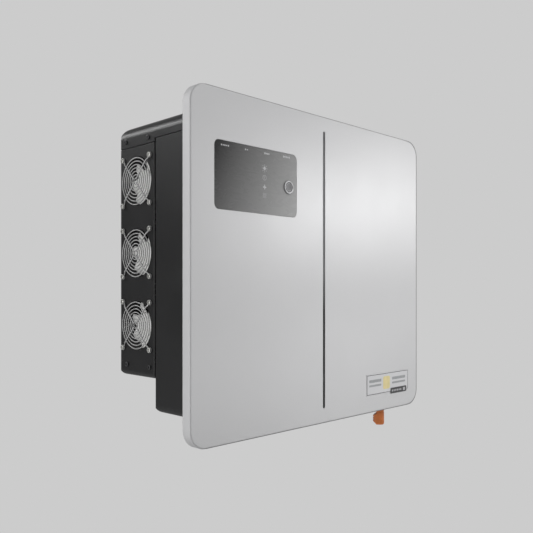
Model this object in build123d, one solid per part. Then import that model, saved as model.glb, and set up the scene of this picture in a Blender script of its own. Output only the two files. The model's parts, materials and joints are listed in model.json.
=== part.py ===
"""String inverter, wall hung, fan cooled.

Row frame, millimetres: X to the right seen from the front, Y from the front cover towards the
wall, Z up. Origin: on the wall plane (the rear face of the wall bracket), level with and centred
on the front cover.
The casing is a die-cast electronics box with a folded silver cover in front and a sheet-metal
cooling duct behind. Three 80 mm fans in the left end cap blow along the heat sink's fins to the
louvred right end cap.

Each piece has a function of the same name as its file; the list of pieces is at the end.
"""

from build123d import *
import math
import os

os.makedirs("parts", exist_ok=True)

# ---------------------------------------------------------------- driving dimensions
COVER_W, COVER_H, COVER_R = 548.0, 495.0, 28.0   # folded front cover, corner radius
COVER_T = 2.5                                    # cover sheet
COVER_RIM = 16.0                                 # depth of the cover's rim
Y_FRONT = -225.0                                 # front face of the cover
Y_RIM = Y_FRONT + COVER_RIM                      # rear edge of the rim
Y_INNER = Y_FRONT + COVER_T                      # inner face of the cover
Y_FLANGE0, Y_FLANGE1 = -212.0, -209.5            # casing flange the cover is screwed to
FLANGE_INSET = 3.5                               # flange edge inside the cover's outline

HALF_W = 243.5                                   # half width of the black casing
Z_TOP, Z_BOT = 216.0, -214.5                     # top and bottom of the electronics box
Y_STEP = -102.0                                  # rear wall of the electronics box
Y_BACK = -9.5                                    # rear face of the cooling duct
Z_DUCT = -165.0                                  # bottom of the cooling duct
R_EDGE = 12.0                                    # large casing radii
Z_HOOD, R_HOOD = 224.0, 20.0                     # top cover: top face and edge radius
R_BEND = 3.0                                     # bend radius of the duct's rear vertical edges
WALL = 4.0                                       # die-cast wall
SHEET = 1.5                                      # duct and top cover sheet
SEAM_FRONT, SEAM_REAR = 194.3, 189.0             # lower edge of the top cover
GAP = 1.1                                        # visible seam under the top cover

Y_LIP = Y_INNER + 3.0                            # front edge of the box walls, behind the seal
Y_CAVITY = Y_STEP - WALL                         # inner face of the box's rear wall
X_CAVITY = HALF_W - WALL                         # inner face of the side walls
Z_FLOOR, Z_CEILING = Z_BOT + WALL, 211.0         # inner faces at the bottom and top

# Screws: all M4. Hole radii to cut a thread in and to pass through.
SCREW_D, PILOT_R, CLEAR_R = 4.0, 2.05, 2.3
COVER_BOSSES = (                                 # (x, z)
    [(x, s * 231.5) for s in (1, -1) for x in (-190, -64, 64, 190)]
    + [(s * 258.0, z) for s in (1, -1) for z in (-95, 95)]
)
SINK_SCREWS = [(x, z) for x in (-176, 10, 196) for z in (-116, 146)]
TOP_SCREWS = [(-26.2, 198.8), (-86.0, 197.6)]    # (y, z), both sides of the top cover
LOW_SCREWS = [(-29.5, -148.4), (-89.5, -148.4)]  # (y, z), both sides of the duct
UPPER_RAIL_SCREWS = [(x, 166) for x in (-150, -50, 50, 150)]
TAB_X, TAB_SCREW_Z = (-110, 110), -145
RAIL_SCREWS = UPPER_RAIL_SCREWS + [(x, TAB_SCREW_Z) for x in TAB_X]

# Heat sink: base front, base rear and fin tips in y, then its extent in x and z
SINK_Y0, SINK_Y1, SINK_Y2 = -101.0, -93.0, -13.6
SINK_X0, SINK_X1, SINK_Z0, SINK_Z1 = -200.0, 217.0, -150.0, 178.0
FIN_T, FIN_PITCH = 1.8, 9.0
SINK_WINDOW = (-170, 190, -110, 140)             # opening in the box's rear wall: x0, x1, z0, z1
SINK_WINDOW_R = 6

FAN_Y, FAN_Z = -55.3, (134.8, 24.1, -86.6)       # fan axes
FAN_SIZE, FAN_BORE_R, FAN_BOLT, FAN_DEPTH = 80.0, 38.0, 71.5, 25.0   # FAN_BOLT: hole spacing
FAN_SET = 9.5                                    # fans sit this far behind the panel, on collars
FAN_X0 = -HALF_W + SHEET + FAN_SET               # outer face of the fan frames
FAN_X1 = FAN_X0 + FAN_DEPTH                      # inner face of the fan frames

# Bottom fittings, all vertical: axes (x, y)
PV_INLETS = [(x, y) for x in (40, 70, 100, 130) for y in (-190, -155)]
AC_GLAND = (-120, -160)
COM_PORT = (-60, -160)
VENT = (-15, -160)
EARTH = (-185, -160)
SWITCH_X, SWITCH_Y = SWITCH = (206.6, -188.0)    # DC isolator

# ---------------------------------------------------------------- helpers
TO_LEFT, TO_RIGHT = Rot(0, -90, 0), Rot(0, 90, 0)    # turn +Z to -X, +X
TO_FRONT, TO_WALL = Rot(90, 0, 0), Rot(-90, 0, 0)    # turn +Z to -Y, +Y


def box(x0, x1, y0, y1, z0, z1):
    centre = Pos((x0 + x1) / 2, (y0 + y1) / 2, (z0 + z1) / 2)
    return centre * Box(x1 - x0, y1 - y0, z1 - z0)


def cyl_x(x0, x1, y, z, radius):
    return Pos((x0 + x1) / 2, y, z) * Rot(0, 90, 0) * Cylinder(radius, x1 - x0)


def cyl_y(y0, y1, x, z, radius):
    return Pos(x, (y0 + y1) / 2, z) * Rot(90, 0, 0) * Cylinder(radius, y1 - y0)


def cyl_z(z0, z1, x, y, radius):
    return Pos(x, y, (z0 + z1) / 2) * Cylinder(radius, z1 - z0)


def side_span(side, near, far):
    """The x range from near to far on the left (-1) or right (1), in rising order."""
    return sorted((side * near, side * far))


def polygon(corners):
    """Face in its own plane from corners (u, v, corner radius)."""
    count, arcs, edges = len(corners), [], []
    for k, (u, v, radius) in enumerate(corners):
        corner = Vector(u, v)
        if radius <= 0:
            arcs.append((corner, corner, None))
            continue
        before, after = Vector(*corners[k - 1][:2]), Vector(*corners[(k + 1) % count][:2])
        to_before, to_after = (before - corner).normalized(), (after - corner).normalized()
        angle = math.acos(max(-1, min(1, to_before.dot(to_after))))
        tangent = radius / math.tan(angle / 2)
        bisector = (to_before + to_after).normalized()
        centre = corner + bisector * (radius / math.sin(angle / 2))
        middle = centre + (corner - centre).normalized() * radius
        arcs.append((corner + to_before * tangent, corner + to_after * tangent, middle))
    for k, (start, end, middle) in enumerate(arcs):
        if middle is not None:
            edges.append(ThreePointArc(start, middle, end))
        following = arcs[(k + 1) % count][0]
        if (following - end).length > 1e-6:
            edges.append(Line(end, following))
    return Face(Wire(edges))


def rect(u0, u1, v0, v1, radius):
    return polygon([(u0, v0, radius), (u1, v0, radius), (u1, v1, radius), (u0, v1, radius)])


def centred_rect(u, v, width, height, radius):
    return rect(u - width / 2, u + width / 2, v - height / 2, v + height / 2, radius)


def extrude_x(face, x0, x1):
    """face drawn in (y, z), from x0 to x1."""
    plane = Plane(origin=(x0, 0, 0), x_dir=(0, 1, 0), z_dir=(1, 0, 0))
    return extrude(plane * face, amount=x1 - x0, dir=(1, 0, 0))


def extrude_y(face, y0, y1):
    """face drawn in (x, z), from y0 to y1."""
    plane = Plane(origin=(0, y1, 0), x_dir=(1, 0, 0), z_dir=(0, -1, 0))
    return extrude(plane * face, amount=y1 - y0, dir=(0, -1, 0))


def extrude_z(face, z0, z1):
    """face drawn in (x, y), from z0 to z1."""
    plane = Plane(origin=(0, 0, z0), x_dir=(1, 0, 0), z_dir=(0, 0, 1))
    return extrude(plane * face, amount=z1 - z0, dir=(0, 0, 1))


def hex_z(z0, z1, x, y, across_flats):
    radius = across_flats / math.sqrt(3)
    angles = [math.radians(60 * k) for k in range(6)]
    corners = [(radius * math.cos(a), radius * math.sin(a), 0) for a in angles]
    return Pos(x, y, 0) * extrude_z(polygon(corners), z0, z1)


def pan_screw(head_d, head_h, length):
    """Cross-recess pan screw along Z: shank from z = -length to 0, head from 0 to head_h."""
    head = Pos(0, 0, head_h / 2) * Cylinder(head_d / 2, head_h)
    head = fillet(head.edges().sort_by(Axis.Z)[-1:], head_h * 0.55)
    depth, size = head_h * 0.62, head_d * 0.52
    recess = Box(size, size * 0.26, depth) + Box(size * 0.26, size, depth)
    head -= Pos(0, 0, head_h + 0.001) * (Pos(0, 0, -depth / 2) * recess)
    return head + Pos(0, 0, -length / 2) * Cylinder(SCREW_D / 2, length)


def casing_block(y0, y1, z0, z1, inset=0, top_x=0, bottom_x=0, top_y=0, bottom_y=0, back=0):
    """Casing block with its sides and rear moved inwards by inset.

    top_x, bottom_x: radii of the rear edges along X; top_y, bottom_y: of the edges along Y;
    back: of the rear vertical edges.
    """
    def reduced(radius):
        return max(radius - inset, 0.6) if radius > 0 else 0

    x, rear = HALF_W - inset, y1 - inset
    top_x, bottom_x, back = reduced(top_x), reduced(bottom_x), reduced(back)
    top_y, bottom_y = reduced(top_y), reduced(bottom_y)
    side = polygon([(y0, z0, 0), (rear, z0, bottom_x), (rear, z1, top_x), (y0, z1, 0)])
    front = polygon([(-x, z0, bottom_y), (x, z0, bottom_y), (x, z1, top_y), (-x, z1, top_y)])
    plan = polygon([(-x, y0, 0), (x, y0, 0), (x, rear, back), (-x, rear, back)])
    return extrude_x(side, -x, x) & extrude_y(front, y0, rear) & extrude_z(plan, z0, z1)


# ---------------------------------------------------------------- front cover and badge
WIN_X, WIN_Z, WIN_W, WIN_H, WIN_R = -148.85, 127.35, 166.0, 95.6, 8.0   # display window
WIN_CLEARANCE = 0.25
SLOT_W, SLOT_L, SLOT_D = 5.2, 447.0, 1.5         # vertical styling groove
INLAY_CLEARANCE = 0.15


def cover_outline(inset):
    return centred_rect(0, 0, COVER_W - 2 * inset, COVER_H - 2 * inset, COVER_R - inset)


def window_outline(grow, radius):
    return centred_rect(WIN_X, WIN_Z, WIN_W + 2 * grow, WIN_H + 2 * grow, radius)


def front_cover():
    cover = extrude_y(cover_outline(0), Y_FRONT, Y_RIM)
    cover = fillet(cover.faces().sort_by(Axis.Y)[0].edges(), 2.2)
    cover -= extrude_y(cover_outline(COVER_T), Y_INNER, Y_RIM + 1)
    for x, z in COVER_BOSSES:
        cover += cyl_y(Y_INNER - 0.3, Y_FLANGE0, x, z, 4.5)
    for x, z in COVER_BOSSES:
        cover -= cyl_y(Y_FLANGE0 - 8.5, Y_FLANGE0 + 1, x, z, PILOT_R)
    opening = window_outline(WIN_CLEARANCE, WIN_R + WIN_CLEARANCE)
    cover -= extrude_y(opening, Y_FRONT - 1, Y_INNER + 1)
    groove = centred_rect(0, 0, SLOT_W, SLOT_L, SLOT_W / 2 - 0.01)
    cover -= extrude_y(groove, Y_FRONT - 1, Y_FRONT + SLOT_D)
    return cover


def slot_inlay():
    width, length = SLOT_W - 2 * INLAY_CLEARANCE, SLOT_L - 2 * INLAY_CLEARANCE
    strip = centred_rect(0, 0, width, length, width / 2 - 0.01)
    return extrude_y(strip, Y_FRONT + 0.55, Y_FRONT + SLOT_D)


def badge_plate():
    return extrude_y(centred_rect(178.6, -199.0, 128.8, 36.7, 1.2), Y_FRONT - 0.4, Y_FRONT)


def badge_strip():
    return extrude_y(centred_rect(211.0, -215.2, 50.0, 10.4, 1.8), Y_FRONT - 1.0, Y_FRONT - 0.42)


# ---------------------------------------------------------------- display
Y_WIN = Y_FRONT + 0.2                            # front of the window, just under flush
Y_WIN_SEAL = Y_INNER + 0.6                       # rear of the window's foam seal
Y_WIN_REAR = Y_WIN_SEAL + 1.5                    # rear of the window's flange
WIN_FLANGE = 5.6                                 # flange beyond the window's edge
WIN_FLANGE_R = WIN_R + 4
Y_DISPLAY0, Y_DISPLAY1 = -212.6, -211.0          # display board
BUTTON_X, BUTTON_Z = -83.8, 124.3
ICON_X, ICON_Z = -135.0, (147.4, 133.0, 119.0, 105.4)   # indicator lights


def display_window():
    window = extrude_y(window_outline(0, WIN_R), Y_WIN, Y_WIN_REAR)
    window += extrude_y(window_outline(WIN_FLANGE, WIN_FLANGE_R), Y_WIN_SEAL, Y_WIN_REAR)
    for side in (-1, 1):
        for end in (-1, 1):
            stud_x, stud_z = WIN_X + side * 79.5, WIN_Z + end * 43.5
            window += cyl_y(Y_WIN_REAR - 0.3, Y_DISPLAY0, stud_x, stud_z, 2.6)
    window -= cyl_y(Y_WIN - 1, Y_WIN_REAR + 1, BUTTON_X, BUTTON_Z, 8.1)
    return window


def window_gasket():
    outer = extrude_y(window_outline(WIN_FLANGE, WIN_FLANGE_R), Y_INNER, Y_WIN_SEAL)
    return outer - extrude_y(window_outline(0.3, WIN_R + 0.3), Y_INNER - 1, Y_WIN_SEAL + 1)


def display_board():
    board = extrude_y(rect(-232.5, -65.2, 81.0, 173.7, 3), Y_DISPLAY0, Y_DISPLAY1)
    board -= cyl_y(-220, -200, BUTTON_X, BUTTON_Z, 11.0)
    for x, z in [(-200, 92), (-180, 92), (-150, 162), (-120, 92)]:      # chips
        board += box(x - 6, x + 6, Y_DISPLAY1 - 0.1, Y_DISPLAY1 + 1.8, z - 4, z + 4)
    board += box(-170, -140, Y_DISPLAY1 - 0.1, Y_DISPLAY1 + 6, 96, 104)
    return board


def lcd_module():
    y_step = Y_DISPLAY0 - 6.2
    return box(-224, -152, y_step, Y_DISPLAY0, 100, 152) + box(
        -221, -155, y_step - 1.0, y_step, 104, 148)


def indicator_light_pipes():
    rear = Y_DISPLAY0 - 0.05
    return [
        cyl_y(Y_WIN_REAR, rear, ICON_X, z, 2.5) + cyl_y(Y_DISPLAY0 - 2.5, rear, ICON_X, z, 3.4)
        for z in ICON_Z
    ]


# ---------------------------------------------------------------- push button
BEZEL_BORE_R = 7.2
Y_BEZEL_REAR = -208.0
Y_CAP_FRONT, Y_CAP_REAR = Y_WIN - 1.3, -219.0
DISH_R, DISH_DEPTH = 60, 0.45                    # hollow in the cap's face


def button_cyl(y0, y1, radius):
    return cyl_y(y0, y1, BUTTON_X, BUTTON_Z, radius)


def button_bezel():
    bezel = button_cyl(Y_WIN - 1.7, Y_WIN, 10.5)
    bezel = fillet(bezel.edges().sort_by(Axis.Y)[:1], 1.2)
    bezel += button_cyl(Y_WIN - 0.2, Y_BEZEL_REAR, 8.0)
    bezel -= button_cyl(-230, -200, BEZEL_BORE_R)
    circles = bezel.edges().filter_by(GeomType.CIRCLE)
    bore_edges = circles.filter_by(lambda edge: abs(edge.radius - BEZEL_BORE_R) < 0.01)
    return chamfer(bore_edges.sort_by(Axis.Y)[:1], 0.6)


def button_cap():
    cap = button_cyl(Y_CAP_FRONT, Y_CAP_REAR, 7.1)
    cap = fillet(cap.edges().sort_by(Axis.Y)[:1], 0.7)
    cap -= Pos(BUTTON_X, Y_CAP_FRONT - DISH_R + DISH_DEPTH, BUTTON_Z) * Sphere(DISH_R)
    cap += button_cyl(Y_CAP_REAR - 0.2, -209.0, 3.0)
    return cap


def button_spring():
    path = Helix(pitch=1.95, height=7.4, radius=5.0)
    wire = Plane(path @ 0, z_dir=path % 0) * Circle(0.35)
    return Pos(BUTTON_X, -218.55, BUTTON_Z) * TO_WALL * sweep(wire, path=path, is_frenet=True)


def button_switch():
    switch = button_cyl(-210.4, Y_BEZEL_REAR, 7.1) + button_cyl(Y_BEZEL_REAR, -192.0, 9.0)
    switch -= button_cyl(-211, -203.0, 3.2)
    for x in (BUTTON_X - 4, BUTTON_X + 4):       # rear contacts
        switch += box(x - 0.4, x + 0.4, -192.1, -186.0, BUTTON_Z - 1.4, BUTTON_Z + 1.4)
    return switch


# ---------------------------------------------------------------- electronics box
NECK_INSET = 1.8                                 # upper part of the box, inside the top cover
BOTTOM_HOLES = [(x, y, 6.15) for x, y in PV_INLETS] + [     # (x, y, radius)
    (*AC_GLAND, 16.2), (*COM_PORT, 10.15), (*VENT, 6.15), (*EARTH, 3.15), (*SWITCH, 6.0),
]


def main_housing():
    lower = casing_block(Y_LIP, Y_STEP, Z_BOT, 240, bottom_x=R_EDGE, bottom_y=R_EDGE, back=4.0)
    lower = lower & box(-300, 300, -300, 0, -300, SEAM_FRONT - GAP)
    x, top, radius = HALF_W - NECK_INSET, Z_TOP - NECK_INSET, R_EDGE - NECK_INSET
    neck = polygon([(-x, 150, 0), (x, 150, 0), (x, top, radius), (-x, top, radius)])
    housing = lower + extrude_y(neck, Y_LIP, Y_STEP)
    housing += extrude_y(cover_outline(FLANGE_INSET), Y_FLANGE0, Y_FLANGE1)
    cavity = rect(-X_CAVITY, X_CAVITY, Z_FLOOR, Z_CEILING, 8)
    housing -= extrude_y(cavity, Y_LIP - 5, Y_CAVITY)
    housing -= extrude_y(rect(*SINK_WINDOW, SINK_WINDOW_R), Y_CAVITY - 1, Y_STEP + 1)
    for x, z in COVER_BOSSES:
        housing -= cyl_y(-214, -205, x, z, 2.4)
    for x, z in SINK_SCREWS:
        housing -= cyl_y(Y_CAVITY - 1, Y_STEP + 1, x, z, CLEAR_R)
    for x, y, radius in BOTTOM_HOLES:
        housing -= cyl_z(Z_BOT - 1, Z_FLOOR + 1, x, y, radius)
    return housing


def cover_gasket():
    outer = rect(-HALF_W + 0.3, HALF_W - 0.3, Z_BOT + 0.3, 213.7, 10)
    inner = rect(-X_CAVITY - 0.2, X_CAVITY + 0.2, Z_FLOOR - 0.2, Z_CEILING + 0.2, 8)
    return extrude_y(outer, Y_INNER, Y_LIP) - extrude_y(inner, Y_INNER - 1, Y_LIP + 1)


def machine_screws():
    screw = pan_screw(head_d=7.6, head_h=2.4, length=9.5)
    screws = [Pos(x, Y_FLANGE1, z) * TO_WALL * screw for x, z in COVER_BOSSES]
    return screws + [Pos(x, Y_CAVITY, z) * TO_FRONT * screw for x, z in SINK_SCREWS]


def top_cover():
    radii = dict(top_x=R_HOOD, top_y=R_HOOD, back=R_BEND)
    top = casing_block(Y_FLANGE1 + 0.3, Y_BACK, 150, Z_HOOD, **radii)
    top -= casing_block(Y_FLANGE1 - 5, Y_BACK, 140, Z_HOOD - SHEET, inset=SHEET, **radii)
    # the lower edge steps down from the front part to the rear part
    below_front = box(-300, 300, -300, Y_STEP, 100, SEAM_FRONT)
    top -= below_front + box(-300, 300, Y_STEP - 1, 10, 100, SEAM_REAR)
    for y, z in TOP_SCREWS:
        top -= cyl_x(-260, 260, y, z, CLEAR_R)
    return top


# ---------------------------------------------------------------- duct: end caps and shell
Y_DUCT = Y_STEP + 0.6                            # front edge of the duct
CAP_X, SHELL_X = 229.0, 228.4                    # the caps start, and the shell ends, here
Z_TONGUE = 206                                   # top of the tongues inside the top cover
LOUVRE_COUNT, LOUVRE_Z0, LOUVRE_PITCH, LOUVRE_HALF_H = 24, -128, 12.4, 2.6


def duct_block(inset):
    return casing_block(Y_DUCT, Y_BACK, Z_DUCT + inset, 250, inset=inset,
                        bottom_x=R_EDGE, bottom_y=8.0, back=R_BEND)


duct_outer, duct_joggle_inner = duct_block(0), duct_block(2.4)
below_seam = box(-300, 300, -300, 10, -300, SEAM_REAR - GAP)
duct_sheet = (duct_outer - duct_block(SHEET)) & below_seam


def end_cap(side):
    """End cap without its openings: side -1 is the left, 1 the right."""
    cap = duct_sheet & box(*side_span(side, CAP_X, 300), -300, 10, -300, 300)
    # small chamfer where the cap meets the electronics box, which leaves a shadow line
    outside, inside = side * (HALF_W + 1), side * (HALF_W - 0.9)
    wedge = [(outside, Y_DUCT - 1, 0), (inside, Y_DUCT - 1, 0),
             (inside, Y_DUCT, 0), (outside, Y_DUCT + 3.0, 0)]
    cap -= extrude_z(polygon(wedge), -170, 200)
    tongue = box(-HALF_W + 1.9, -HALF_W + 3.4, -96, -18, 181, Z_TONGUE)
    tongue += box(-HALF_W, -HALF_W + 3.4, -96, -18, 181, SEAM_REAR - GAP)
    cap += tongue if side < 0 else mirror(tongue, about=Plane.YZ)
    return cap


def drill_end_cap(cap, side):
    span = side_span(side, 235, 260)
    for y, z in TOP_SCREWS:
        cap -= cyl_x(*span, y, z, PILOT_R)
    for y, z in LOW_SCREWS:
        cap -= cyl_x(*span, y, z, CLEAR_R)
    return cap


def fan_bolts(z_axis, shift_y=0):
    """(y, z) of a fan's four corner holes, moved towards its axis in y by shift_y."""
    half = FAN_BOLT / 2
    return [(FAN_Y + sy * (half - shift_y), z_axis + sz * half) for sy in (-1, 1) for sz in (-1, 1)]


def fan_panel():
    """Left end cap, with a collar and four spacers inside for each fan."""
    panel = end_cap(-1)
    x_root = -HALF_W + SHEET - 0.5
    for z_axis in FAN_Z:
        panel += cyl_x(x_root, FAN_X0, FAN_Y, z_axis, FAN_BORE_R + 1.6)
        for y, z in fan_bolts(z_axis, shift_y=0.4):
            panel += cyl_x(x_root, FAN_X0, y, z, 3.9)
        panel -= cyl_x(-260, -220, FAN_Y, z_axis, FAN_BORE_R)
        for y, z in fan_bolts(z_axis):
            panel -= cyl_x(-260, -220, y, z, CLEAR_R)
    return drill_end_cap(panel, -1)


def outlet_grille():
    """Right end cap, with two columns of louvre slots."""
    grille = drill_end_cap(end_cap(1), 1)
    for k in range(LOUVRE_COUNT):
        z = LOUVRE_Z0 + k * LOUVRE_PITCH
        for y0, y1 in ((-90, -54), (-48, -18)):
            slot = rect(y0, y1, z - LOUVRE_HALF_H, z + LOUVRE_HALF_H, LOUVRE_HALF_H - 0.01)
            grille -= extrude_x(slot, 235, 260)
    return grille


def duct_shell():
    """Bottom and rear of the duct, with inset laps that reach under the end caps."""
    shell = duct_sheet & box(-SHELL_X, SHELL_X, -300, 10, -300, 300)
    joggle = ((duct_outer - duct_joggle_inner) & below_seam) & (
        box(-226, -219, -300, 10, -300, 300) + box(219, 226, -300, 10, -300, 300))
    lap = ((duct_block(1.6) - duct_joggle_inner) & box(-300, 300, -300, 10, -300, 175)) & (
        box(-238, -219, -300, 10, -300, 300) + box(219, 238, -300, 10, -300, 300))
    shell = shell + joggle + lap
    block_limit = duct_block(1.8)
    for side in (-1, 1):
        for y, z in LOW_SCREWS:                  # screw blocks in the lower corners
            span = side_span(side, HALF_W - 1.8, 224.0)
            shell += box(*span, y - 6, y + 6, -162.5, -141) & block_limit
    y_tongue = Y_BACK - 3.2
    shell += box(-215, 215, y_tongue, Y_BACK - 1.7, 180, Z_TONGUE) + box(
        -215, 215, y_tongue, Y_BACK, 180, SEAM_REAR - GAP)
    for side in (-1, 1):
        for y, z in LOW_SCREWS:
            shell -= cyl_x(*side_span(side, 250, 228.0), y, z, PILOT_R)
    for x, z in RAIL_SCREWS:
        shell -= cyl_y(Y_BACK - 3, Y_BACK + 1, x, z, PILOT_R)
    return shell


def casing_screws():
    screws = []
    for places, length in ((TOP_SCREWS, 5.5), (LOW_SCREWS, 10)):
        screw = pan_screw(head_d=7.2, head_h=2.0, length=length)
        for x, turn in ((-HALF_W, TO_LEFT), (HALF_W, TO_RIGHT)):
            screws += [Pos(x, y, z) * turn * screw for y, z in places]
    return screws


# ---------------------------------------------------------------- heat sink
def heat_sink():
    outline = [(SINK_Y0, SINK_Z0, 0), (SINK_Y1, SINK_Z0, 0)]
    height = SINK_Z1 - SINK_Z0
    fin_count = int((height - FIN_T) // FIN_PITCH) + 1
    z = SINK_Z0 + (height - (fin_count - 1) * FIN_PITCH - FIN_T) / 2
    for _ in range(fin_count):
        outline += [(SINK_Y1, z, 0), (SINK_Y2, z, 0)]
        outline += [(SINK_Y2, z + FIN_T, 0), (SINK_Y1, z + FIN_T, 0)]
        z += FIN_PITCH
    outline += [(SINK_Y1, SINK_Z1, 0), (SINK_Y0, SINK_Z1, 0)]
    sink = extrude_x(polygon(outline), SINK_X0, SINK_X1)
    for x, z in SINK_SCREWS:
        sink -= cyl_y(SINK_Y0 - 1, SINK_Y0 + 6, x, z, PILOT_R)
    return sink


def heat_sink_gasket():
    x0, x1, z0, z1 = SINK_WINDOW
    margin = 12
    outer = rect(x0 - margin, x1 + margin, z0 - margin, z1 + margin, 10)
    gasket = extrude_y(outer, Y_STEP, SINK_Y0)
    gasket -= extrude_y(rect(*SINK_WINDOW, SINK_WINDOW_R), Y_STEP - 1, SINK_Y0 + 1)
    for x, z in SINK_SCREWS:
        gasket -= cyl_y(Y_STEP - 1, SINK_Y0 + 1, x, z, CLEAR_R)
    return gasket


# ---------------------------------------------------------------- fans
BLADE_COUNT, BLADE_ANGLE, BLADE_CHORD, BLADE_CAMBER, BLADE_T = 7, 32, 28.0, 3.0, 1.3
GUARD_RINGS = (35.8, 30.6, 25.4, 20.2, 15.0, 9.8, 4.6)      # ring radii
X_RING, X_LEG, X_EYE = -HALF_W - 1.9, -HALF_W - 3.2, -HALF_W - 1.05   # wire centres
EYE_R, EYE_WIRE_R = 3.3, 1.04


def fan_frame(z_axis):
    square = centred_rect(FAN_Y, z_axis, FAN_SIZE, FAN_SIZE, 5)
    frame = extrude_x(square, FAN_X0, FAN_X0 + 3.5) + extrude_x(square, FAN_X1 - 3.5, FAN_X1)
    frame += cyl_x(FAN_X0, FAN_X1, FAN_Y, z_axis, 39.5)
    frame -= cyl_x(FAN_X0 - 1, FAN_X1 + 1, FAN_Y, z_axis, FAN_BORE_R)
    for y, z in fan_bolts(z_axis):
        frame -= cyl_x(FAN_X0 - 1, FAN_X1 + 1, y, z, 2.2)
    hub = cyl_x(FAN_X1 - 3, FAN_X1, FAN_Y, z_axis, 20)
    for angle in (20, 110, 200, 290):            # struts
        strut = box(FAN_X1 - 3, FAN_X1, 15, 38.6, -2.2, 2.2)
        hub += Pos(0, FAN_Y, z_axis) * Rot(angle, 0, 0) * strut
    hub += cyl_x(FAN_X0 + 4.9, FAN_X1 - 2.9, FAN_Y, z_axis, 6.0)
    hub -= cyl_x(FAN_X0 + 4.8, FAN_X1 - 3.2, FAN_Y, z_axis, 4.52)
    return frame + hub


def blade():
    """One cambered blade for an axis along X, made at +Z: a curved strip pushed out along the
    radius and trimmed to the tip circle."""
    angle, half = math.radians(BLADE_ANGLE), BLADE_CHORD / 2
    chord_x, chord_y = math.sin(angle), math.cos(angle)

    def point(along, across):
        return Vector(chord_x * along - chord_y * across, chord_y * along + chord_x * across)

    start, middle, end = point(-half, 0), point(0, BLADE_CAMBER), point(half, 0)
    back_start, back_end = point(-half, -BLADE_T), point(half, -BLADE_T)
    section = Face(Wire([
        ThreePointArc(start, middle, end),
        Line(end, back_end),
        ThreePointArc(back_end, point(0, BLADE_CAMBER - BLADE_T), back_start),
        Line(back_start, start),
    ]))
    strip = extrude_z(section, 16.5, 40.5)
    return strip & (Rot(0, 90, 0) * Cylinder(36.6, 40) - Rot(0, 90, 0) * Cylinder(18.2, 40))


one_blade = blade()


def fan_rotor(z_axis):
    x0, x1 = FAN_X0 + 2.6, FAN_X1 - 6.2
    rotor = cyl_x(x0, x1, 0, 0, 19.0)
    rotor = fillet(rotor.edges().sort_by(Axis.X)[:1], 2.2)
    rotor -= cyl_x(x0 + 1.8, x1 + 1, 0, 0, 17.2)
    rotor += cyl_x(x0 + 1.0, FAN_X1 - 4.0, 0, 0, 2.0)
    x_blade = (FAN_X0 + 3.2 + FAN_X1 - 5.2) / 2
    for k in range(BLADE_COUNT):
        # the term in z_axis stops each rotor at a different angle
        turn = 360 / BLADE_COUNT * k + z_axis * 0.37
        rotor += Rot(turn, 0, 0) * Pos(x_blade, 0, 0) * one_blade
    return Pos(0, FAN_Y, z_axis) * rotor


def rod(start, end, radius):
    """Eight-sided rod."""
    start, end = Vector(*start), Vector(*end)
    plane = Plane(origin=start, z_dir=(end - start).normalized())
    return extrude(plane * RegularPolygon(radius, 8), amount=(end - start).length)


def fan_guard():
    """Wire guard of a fan at z = 0: rings, and four legs that end in screw eyes."""
    eye_distance = FAN_BOLT / 2 * math.sqrt(2)
    rods = []
    rounds = [Pos(X_RING, 0, 0) * Rot(0, 90, 0) * Torus(radius, 0.8) for radius in GUARD_RINGS]
    for angle in (45, 135, 225, 315):
        cosine, sine = math.cos(math.radians(angle)), math.sin(math.radians(angle))
        # each leg: (x, distance from the axis) of both ends, radius
        for x0, r0, x1, r1, radius in (
            (X_LEG, 3.6, X_LEG, 39.6, 1.0),
            (X_LEG - 0.05, 39.2, X_EYE - 0.03, 45.2, 0.97),
            (X_EYE, 44.9, X_EYE, eye_distance - EYE_R, 0.98),
        ):
            rods.append(rod((x0, r0 * cosine, r0 * sine), (x1, r1 * cosine, r1 * sine), radius))
        eye = Pos(X_EYE, eye_distance * cosine, eye_distance * sine)
        rounds.append(eye * Rot(0, 90, 0) * Torus(EYE_R, EYE_WIRE_R))
    guard = rods[0]
    for piece in rods[1:]:
        guard += piece
    return Pos(0, FAN_Y, 0) * guard.fuse(*rounds)


def fan_stators():
    stators = []
    for z_axis in FAN_Z:
        stator = cyl_x(FAN_X0 + 7.0, FAN_X0 + 16.0, FAN_Y, z_axis, 15.6)
        stator -= cyl_x(FAN_X0, FAN_X1, FAN_Y, z_axis, 6.15)
        for angle in (45, 225, 135, 315):
            slot = box(FAN_X0 + 6, FAN_X0 + 17, -1.2, 1.2, 9.5, 17)
            stator -= Pos(0, FAN_Y, z_axis) * Rot(angle, 0, 0) * slot
        stators.append(stator)
    return stators


def fan_bearings():
    return [
        cyl_x(x, x + 4, FAN_Y, z_axis, 4.5) - cyl_x(x - 1, x + 5, FAN_Y, z_axis, 2.03)
        for z_axis in FAN_Z for x in (FAN_X0 + 5.2, FAN_X1 - 7.6)
    ]


def fan_screws():
    screw = pan_screw(head_d=8.0, head_h=1.8, length=18.0)
    x = X_EYE - 1.06
    return [Pos(x, y, z) * TO_LEFT * screw for z_axis in FAN_Z for y, z in fan_bolts(z_axis)]


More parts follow.
